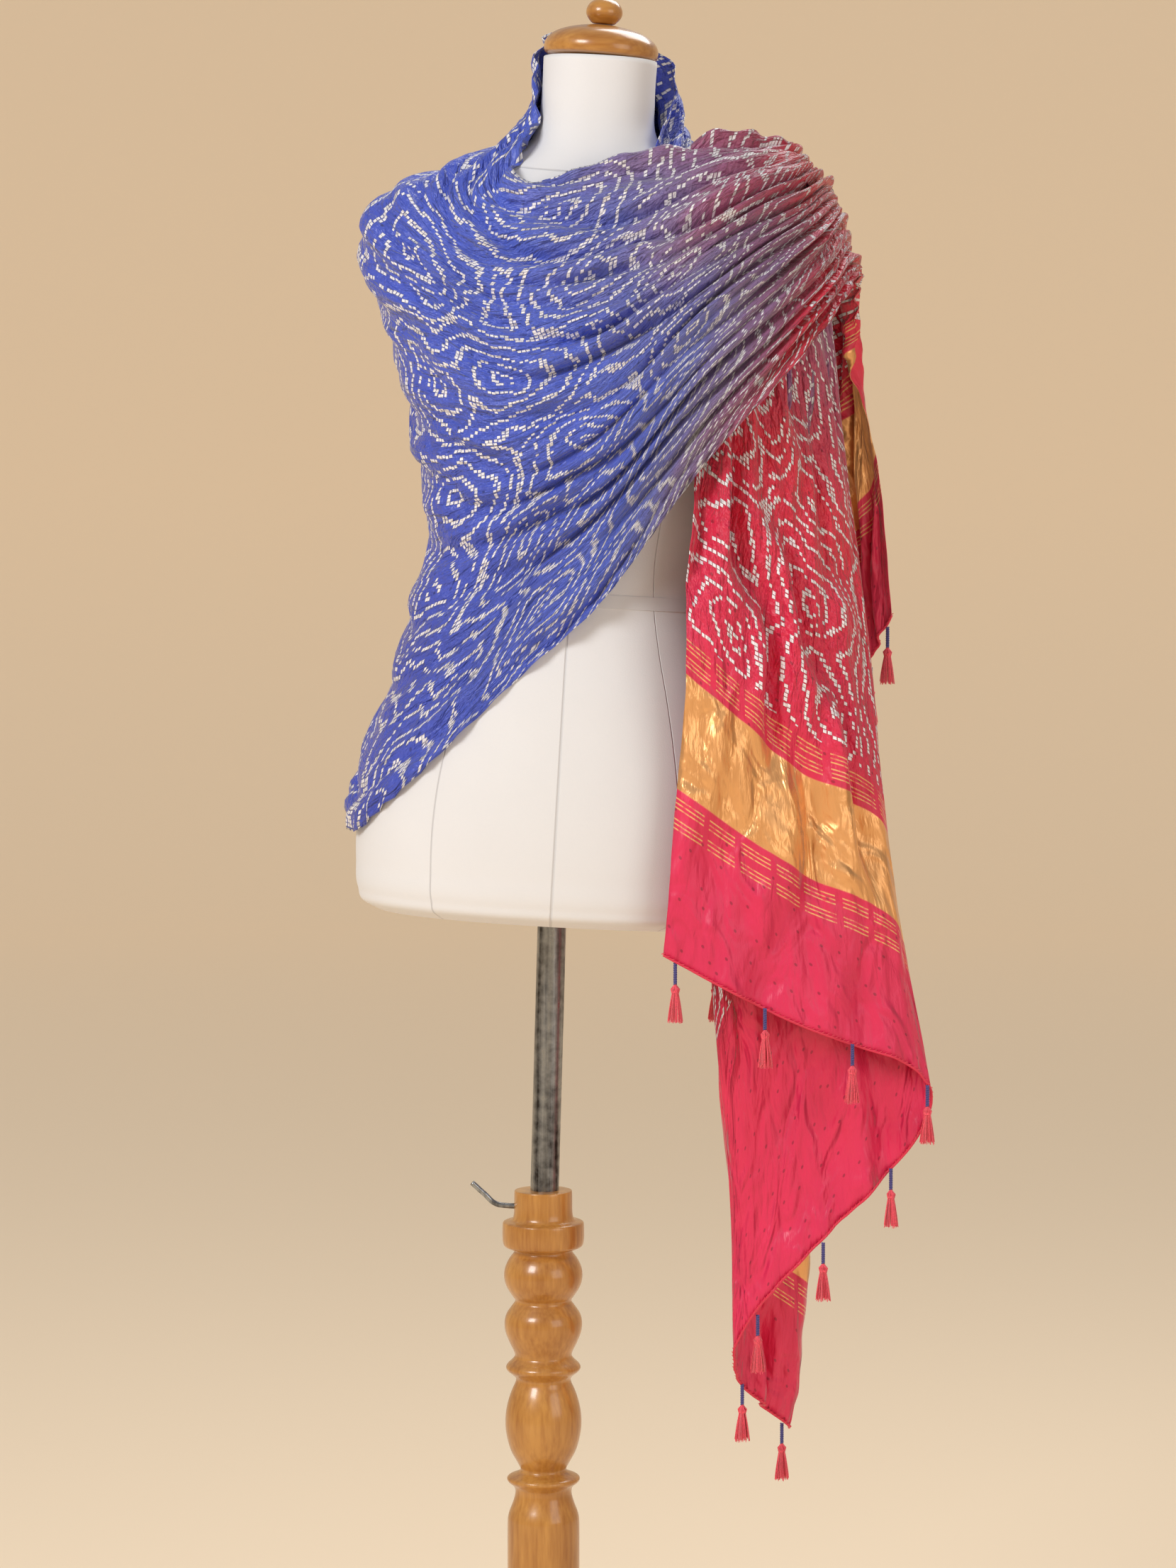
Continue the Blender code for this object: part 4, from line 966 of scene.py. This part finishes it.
def node_group(name, inputs):
    """A Geometry Nodes tree with a geometry input, named inputs for sizes, and a geometry output."""
    tree = bpy.data.node_groups.new(name, "GeometryNodeTree")
    tree.interface.new_socket("Geometry", in_out="INPUT", socket_type="NodeSocketGeometry")
    for label, kind in inputs.items():
        tree.interface.new_socket(label, in_out="INPUT", socket_type="NodeSocket" + kind)
    tree.interface.new_socket("Geometry", in_out="OUTPUT", socket_type="NodeSocketGeometry")
    return tree, tree.nodes.new("NodeGroupInput"), tree.nodes.new("NodeGroupOutput")


def grown(name, guide, tree, values):
    """The plain mesh that a tree makes from a guide, as an object at the origin."""
    modifier = guide.modifiers.new("grow", "NODES")
    modifier.node_group = tree
    for item in tree.interface.items_tree:
        if item.in_out == "INPUT" and item.name in values:
            modifier[item.identifier] = values[item.name]
    bpy.context.view_layer.update()
    mesh = bpy.data.meshes.new_from_object(guide.evaluated_get(bpy.context.evaluated_depsgraph_get()))
    bpy.data.objects.remove(guide)
    mesh.name = name
    mesh.shade_smooth()
    made = bpy.data.objects.new(name, mesh)
    bpy.context.scene.collection.objects.link(made)
    return made


def guide_of(points, edges=()):
    mesh = bpy.data.meshes.new("guide")
    mesh.from_pydata([tuple(map(float, point)) for point in points], edges, [])
    made = bpy.data.objects.new("guide", mesh)
    bpy.context.scene.collection.objects.link(made)
    return made


def finish_tree(tree, group_in, group_out, geometry):
    """Every tree ends by realising its instances and setting their material."""
    real = add_node(tree, "GeometryNodeRealizeInstances", {0: geometry}).outputs[0]
    dressed = add_node(
        tree, "GeometryNodeSetMaterial", {"Geometry": real, "Material": group_in.outputs["Material"]}
    ).outputs[0]
    tree.links.new(dressed, group_out.inputs[0])


hem_tree, group_in, group_out = node_group("rolled_hem", {"Radius": "Float", "Material": "Material"})
path = add_node(hem_tree, "GeometryNodeMeshToCurve", {0: group_in.outputs[0]}).outputs[0]
ring = add_node(hem_tree, "GeometryNodeCurvePrimitiveCircle", {"Resolution": 8, "Radius": group_in.outputs["Radius"]})
roll = add_node(hem_tree, "GeometryNodeCurveToMesh", {"Curve": path, "Profile Curve": ring.outputs[0], "Fill Caps": True})
finish_tree(hem_tree, group_in, group_out, roll.outputs[0])

stitch_tree, group_in, group_out = node_group(
    "hem_stitches",
    {"Spacing": "Float", "Radius": "Float", "Length": "Float", "Tilt": "Float", "Material": "Material"},
)
path = add_node(stitch_tree, "GeometryNodeMeshToCurve", {0: group_in.outputs[0]}).outputs[0]
places = add_node(stitch_tree, "GeometryNodeCurveToPoints", {0: path}, mode="LENGTH")
stitch_tree.links.new(group_in.outputs["Spacing"], places.inputs["Length"])
bead = add_node(stitch_tree, "GeometryNodeMeshUVSphere", {"Segments": 6, "Rings": 4, "Radius": 1.0}).outputs[0]
size = add_node(stitch_tree, "ShaderNodeCombineXYZ", {0: group_in.outputs["Radius"], 1: group_in.outputs["Radius"]})
stitch_tree.links.new(
    add_node(stitch_tree, "ShaderNodeMath", {0: group_in.outputs["Length"], 1: 0.5}, operation="MULTIPLY").outputs[0],
    size.inputs[2],
)
tilt = add_node(stitch_tree, "ShaderNodeCombineXYZ", {0: group_in.outputs["Tilt"]}).outputs[0]
turn = add_node(stitch_tree, "FunctionNodeRotateRotation", {0: places.outputs["Rotation"]}, rotation_space="LOCAL")
stitch_tree.links.new(tilt, turn.inputs[1])
beads = add_node(
    stitch_tree,
    "GeometryNodeInstanceOnPoints",
    {"Points": places.outputs[0], "Instance": bead, "Rotation": turn.outputs[0], "Scale": size.outputs[0]},
)
finish_tree(stitch_tree, group_in, group_out, beads.outputs[0])

hem_silk, tree, shader = new_material("hem_silk")
shader.inputs["Base Color"].default_value = HEM_COLOUR
shader.inputs["Roughness"].default_value = 0.5
stitch_thread, tree, shader = new_material("stitch_thread")
shader.inputs["Base Color"].default_value = (0.80, 0.07, 0.12, 1.0)
shader.inputs["Roughness"].default_value = 0.7
hem_pieces = []
for end, hem, inside in (("front", grid[0], grid[1]), ("back", grid[-1], grid[-2])):
    edges = [(number, number + 1) for number in range(len(hem) - 1)]
    roll = grown(f"hem_roll_{end}", guide_of(hem, edges), hem_tree, {"Radius": HEM_RADIUS, "Material": hem_silk})
    values = {
        "Spacing": STITCH["spacing"], "Radius": STITCH["radius"], "Length": STITCH["length"],
        "Tilt": STITCH["tilt"], "Material": stitch_thread,
    }
    inward = hem + (inside - hem) / np.linalg.norm(inside - hem, axis=1, keepdims=True) * HEM_RADIUS
    for side, name in ((1, "face"), (-1, "reverse")):
        lifted = inward - side * normals[0 if end == "front" else -1] * HEM_RADIUS
        made = grown(f"hem_stitches_{end}_{name}", guide_of(lifted, edges), stitch_tree, values)
        hem_pieces.append(made)
    hem_pieces.append(roll)
for made in hem_pieces:
    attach(made, "root")

# Tassels.
# A short two-ply navy cord is sewn to the hem. From it hangs a tassel of coral threads, laid over the
# cord's knot and bound below it.
CORD = {"ply": 0.00085, "turns": 4.5, "sides": 6}
# Shape of a thread. Rows are: share of the tassel's length, distance from its middle as a share of its greatest.
THREAD_SHAPE = ((0.0, 0.10), (0.10, 0.62), (0.20, 0.40), (0.27, 0.46), (0.60, 0.74), (1.0, 1.0))
TASSEL = {"length": 0.031, "radius": 0.0064, "threads": 130, "thread": 0.00036}
BINDING = {"down": 0.0066, "radius": 0.0027, "turns": 4.0, "height": 0.0022, "thread": 0.0004}
CORAL, NAVY = (0.92, 0.095, 0.15, 1.0), (0.060, 0.055, 0.24, 1.0)

thread_finishes = {}
for name, colour in (("coral_thread", CORAL), ("navy_thread", NAVY)):
    finish, tree, shader = new_material(name)
    objects = add_node(tree, "ShaderNodeTexCoord").outputs["Object"]
    flecks = add_node(tree, "ShaderNodeTexNoise", {"Vector": objects, "Scale": 900.0, "Detail": 2.0}).outputs[0]
    tone = maths(tree, "MULTIPLY_ADD", flecks, 0.9, 0.55)
    tinted = add_node(tree, "ShaderNodeVectorMath", {0: colour[:3], "Scale": tone}, operation="SCALE").outputs[0]
    tree.links.new(tinted, shader.inputs["Base Color"])
    shader.inputs["Roughness"].default_value = 0.65
    shader.inputs["Sheen Weight"].default_value = 0.3
    thread_finishes[name] = finish

cord_tree, group_in, group_out = node_group(
    "plied_cord", {"Length": "Float", "Ply": "Float", "Turns": "Float", "Sides": "Int", "Material": "Material"}
)
down = add_node(cord_tree, "ShaderNodeMath", {0: group_in.outputs["Length"], 1: -1.0}, operation="MULTIPLY").outputs[0]
helix = add_node(
    cord_tree,
    "GeometryNodeCurveSpiral",
    {"Resolution": 12, "Rotations": group_in.outputs["Turns"], "Start Radius": group_in.outputs["Ply"],
     "End Radius": group_in.outputs["Ply"], "Height": down},
).outputs[0]
other = add_node(cord_tree, "GeometryNodeTransform", {0: helix, "Rotation": (0.0, 0.0, math.pi)}).outputs[0]
both = add_node(cord_tree, "GeometryNodeJoinGeometry")
cord_tree.links.new(helix, both.inputs[0])
cord_tree.links.new(other, both.inputs[0])
ring = add_node(
    cord_tree,
    "GeometryNodeCurvePrimitiveCircle",
    {"Resolution": group_in.outputs["Sides"], "Radius": group_in.outputs["Ply"]},
)
plies = add_node(
    cord_tree, "GeometryNodeCurveToMesh", {"Curve": both.outputs[0], "Profile Curve": ring.outputs[0], "Fill Caps": True}
)
cords = add_node(
    cord_tree, "GeometryNodeInstanceOnPoints", {"Points": group_in.outputs[0], "Instance": plies.outputs[0]}
)
finish_tree(cord_tree, group_in, group_out, cords.outputs[0])

tassel_tree, group_in, group_out = node_group(
    "tassel",
    {"Length": "Float", "Radius": "Float", "Threads": "Int", "Thread": "Float", "Seed": "Int", "Material": "Material"},
)
start = add_node(tassel_tree, "GeometryNodeCurvePrimitiveLine", {"Start": (0.0, 0.0, 0.0), "End": (0.0, 0.0, -1.0)})
steps_down = add_node(tassel_tree, "GeometryNodeResampleCurve", {"Curve": start.outputs[0], "Count": 9})
share = add_node(tassel_tree, "GeometryNodeSplineParameter").outputs["Factor"]
shape = add_node(tassel_tree, "ShaderNodeFloatCurve", {"Value": share})
outline = shape.mapping.curves[0]
outline.points[0].location = THREAD_SHAPE[0]
outline.points[1].location = THREAD_SHAPE[-1]
for at, distance in THREAD_SHAPE[1:-1]:
    outline.points.new(at, distance)
shape.mapping.update()
out = add_node(tassel_tree, "ShaderNodeMath", {0: shape.outputs[0], 1: group_in.outputs["Radius"]}, operation="MULTIPLY")
fall = add_node(tassel_tree, "ShaderNodeMath", {0: share, 1: group_in.outputs["Length"]}, operation="MULTIPLY").outputs[0]
fall = add_node(tassel_tree, "ShaderNodeMath", {0: fall, 1: -1.0}, operation="MULTIPLY").outputs[0]
at = add_node(tassel_tree, "ShaderNodeCombineXYZ", {0: out.outputs[0], 2: fall}).outputs[0]
strand = add_node(tassel_tree, "GeometryNodeSetPosition", {"Geometry": steps_down.outputs[0], "Position": at}).outputs[0]
ring = add_node(tassel_tree, "GeometryNodeCurvePrimitiveCircle", {"Resolution": 3, "Radius": group_in.outputs["Thread"]})
strand = add_node(
    tassel_tree, "GeometryNodeCurveToMesh", {"Curve": strand, "Profile Curve": ring.outputs[0], "Fill Caps": True}
).outputs[0]
copies = add_node(
    tassel_tree,
    "GeometryNodeDuplicateElements",
    {"Geometry": group_in.outputs[0], "Amount": group_in.outputs["Threads"]},
    domain="POINT",
)
turn = add_node(
    tassel_tree, "FunctionNodeRandomValue", {2: 0.0, 3: 2 * math.pi, "Seed": group_in.outputs["Seed"]}, data_type="FLOAT"
)
turn = add_node(tassel_tree, "ShaderNodeCombineXYZ", {2: turn.outputs[1]}).outputs[0]
fill = add_node(tassel_tree, "FunctionNodeRandomValue", {2: 0.05, 3: 1.0, "Seed": 3}, data_type="FLOAT").outputs[1]
fill = add_node(tassel_tree, "ShaderNodeMath", {0: fill, 1: 0.5}, operation="POWER").outputs[0]
tall = add_node(tassel_tree, "FunctionNodeRandomValue", {2: 0.90, 3: 1.02, "Seed": 5}, data_type="FLOAT").outputs[1]
scale = add_node(tassel_tree, "ShaderNodeCombineXYZ", {0: fill, 1: fill, 2: tall}).outputs[0]
strands = add_node(
    tassel_tree,
    "GeometryNodeInstanceOnPoints",
    {"Points": copies.outputs[0], "Instance": strand, "Rotation": turn, "Scale": scale},
)
finish_tree(tassel_tree, group_in, group_out, strands.outputs[0])

binding_tree, group_in, group_out = node_group(
    "tassel_binding",
    {"Down": "Float", "Radius": "Float", "Turns": "Float", "Height": "Float", "Thread": "Float", "Material": "Material"},
)
coil = add_node(
    binding_tree,
    "GeometryNodeCurveSpiral",
    {"Resolution": 14, "Rotations": group_in.outputs["Turns"], "Start Radius": group_in.outputs["Radius"],
     "End Radius": group_in.outputs["Radius"], "Height": group_in.outputs["Height"]},
).outputs[0]
lower = add_node(binding_tree, "ShaderNodeMath", {0: group_in.outputs["Down"], 1: -1.0}, operation="MULTIPLY").outputs[0]
shift = add_node(binding_tree, "ShaderNodeCombineXYZ", {2: lower}).outputs[0]
coil = add_node(binding_tree, "GeometryNodeTransform", {0: coil, "Translation": shift}).outputs[0]
ring = add_node(binding_tree, "GeometryNodeCurvePrimitiveCircle", {"Resolution": 5, "Radius": group_in.outputs["Thread"]})
coil = add_node(
    binding_tree, "GeometryNodeCurveToMesh", {"Curve": coil, "Profile Curve": ring.outputs[0], "Fill Caps": True}
).outputs[0]
coils = add_node(binding_tree, "GeometryNodeInstanceOnPoints", {"Points": group_in.outputs[0], "Instance": coil})
finish_tree(binding_tree, group_in, group_out, coils.outputs[0])

cord_names = [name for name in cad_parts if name.startswith("tassel_cord_")]
tassel_names = [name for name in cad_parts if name.startswith("tassel_") and name not in cord_names]


def tops(names):
    """The middle of each node's upper end."""
    return [((low[0] + high[0]) / 2, (low[1] + high[1]) / 2, high[2]) for low, high in map(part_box, names)]


cord_low, cord_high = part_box(cord_names[0])
cords = grown(
    "plied_cords",
    guide_of(tops(cord_names)),
    cord_tree,
    {"Length": cord_high[2] - cord_low[2], "Ply": CORD["ply"], "Turns": CORD["turns"], "Sides": CORD["sides"],
     "Material": thread_finishes["navy_thread"]},
)
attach(cords, "root")
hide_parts(*cord_names)
tassels = grown(
    "tassel_threads",
    guide_of(tops(tassel_names)),
    tassel_tree,
    {"Length": TASSEL["length"], "Radius": TASSEL["radius"], "Threads": TASSEL["threads"],
     "Thread": TASSEL["thread"], "Seed": 11, "Material": thread_finishes["coral_thread"]},
)
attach(tassels, "root")
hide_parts(*tassel_names)
bindings = grown(
    "tassel_bindings",
    guide_of(tops(tassel_names)),
    binding_tree,
    {"Down": BINDING["down"], "Radius": BINDING["radius"], "Turns": BINDING["turns"],
     "Height": BINDING["height"], "Thread": BINDING["thread"], "Material": thread_finishes["coral_thread"]},
)
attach(bindings, "root")
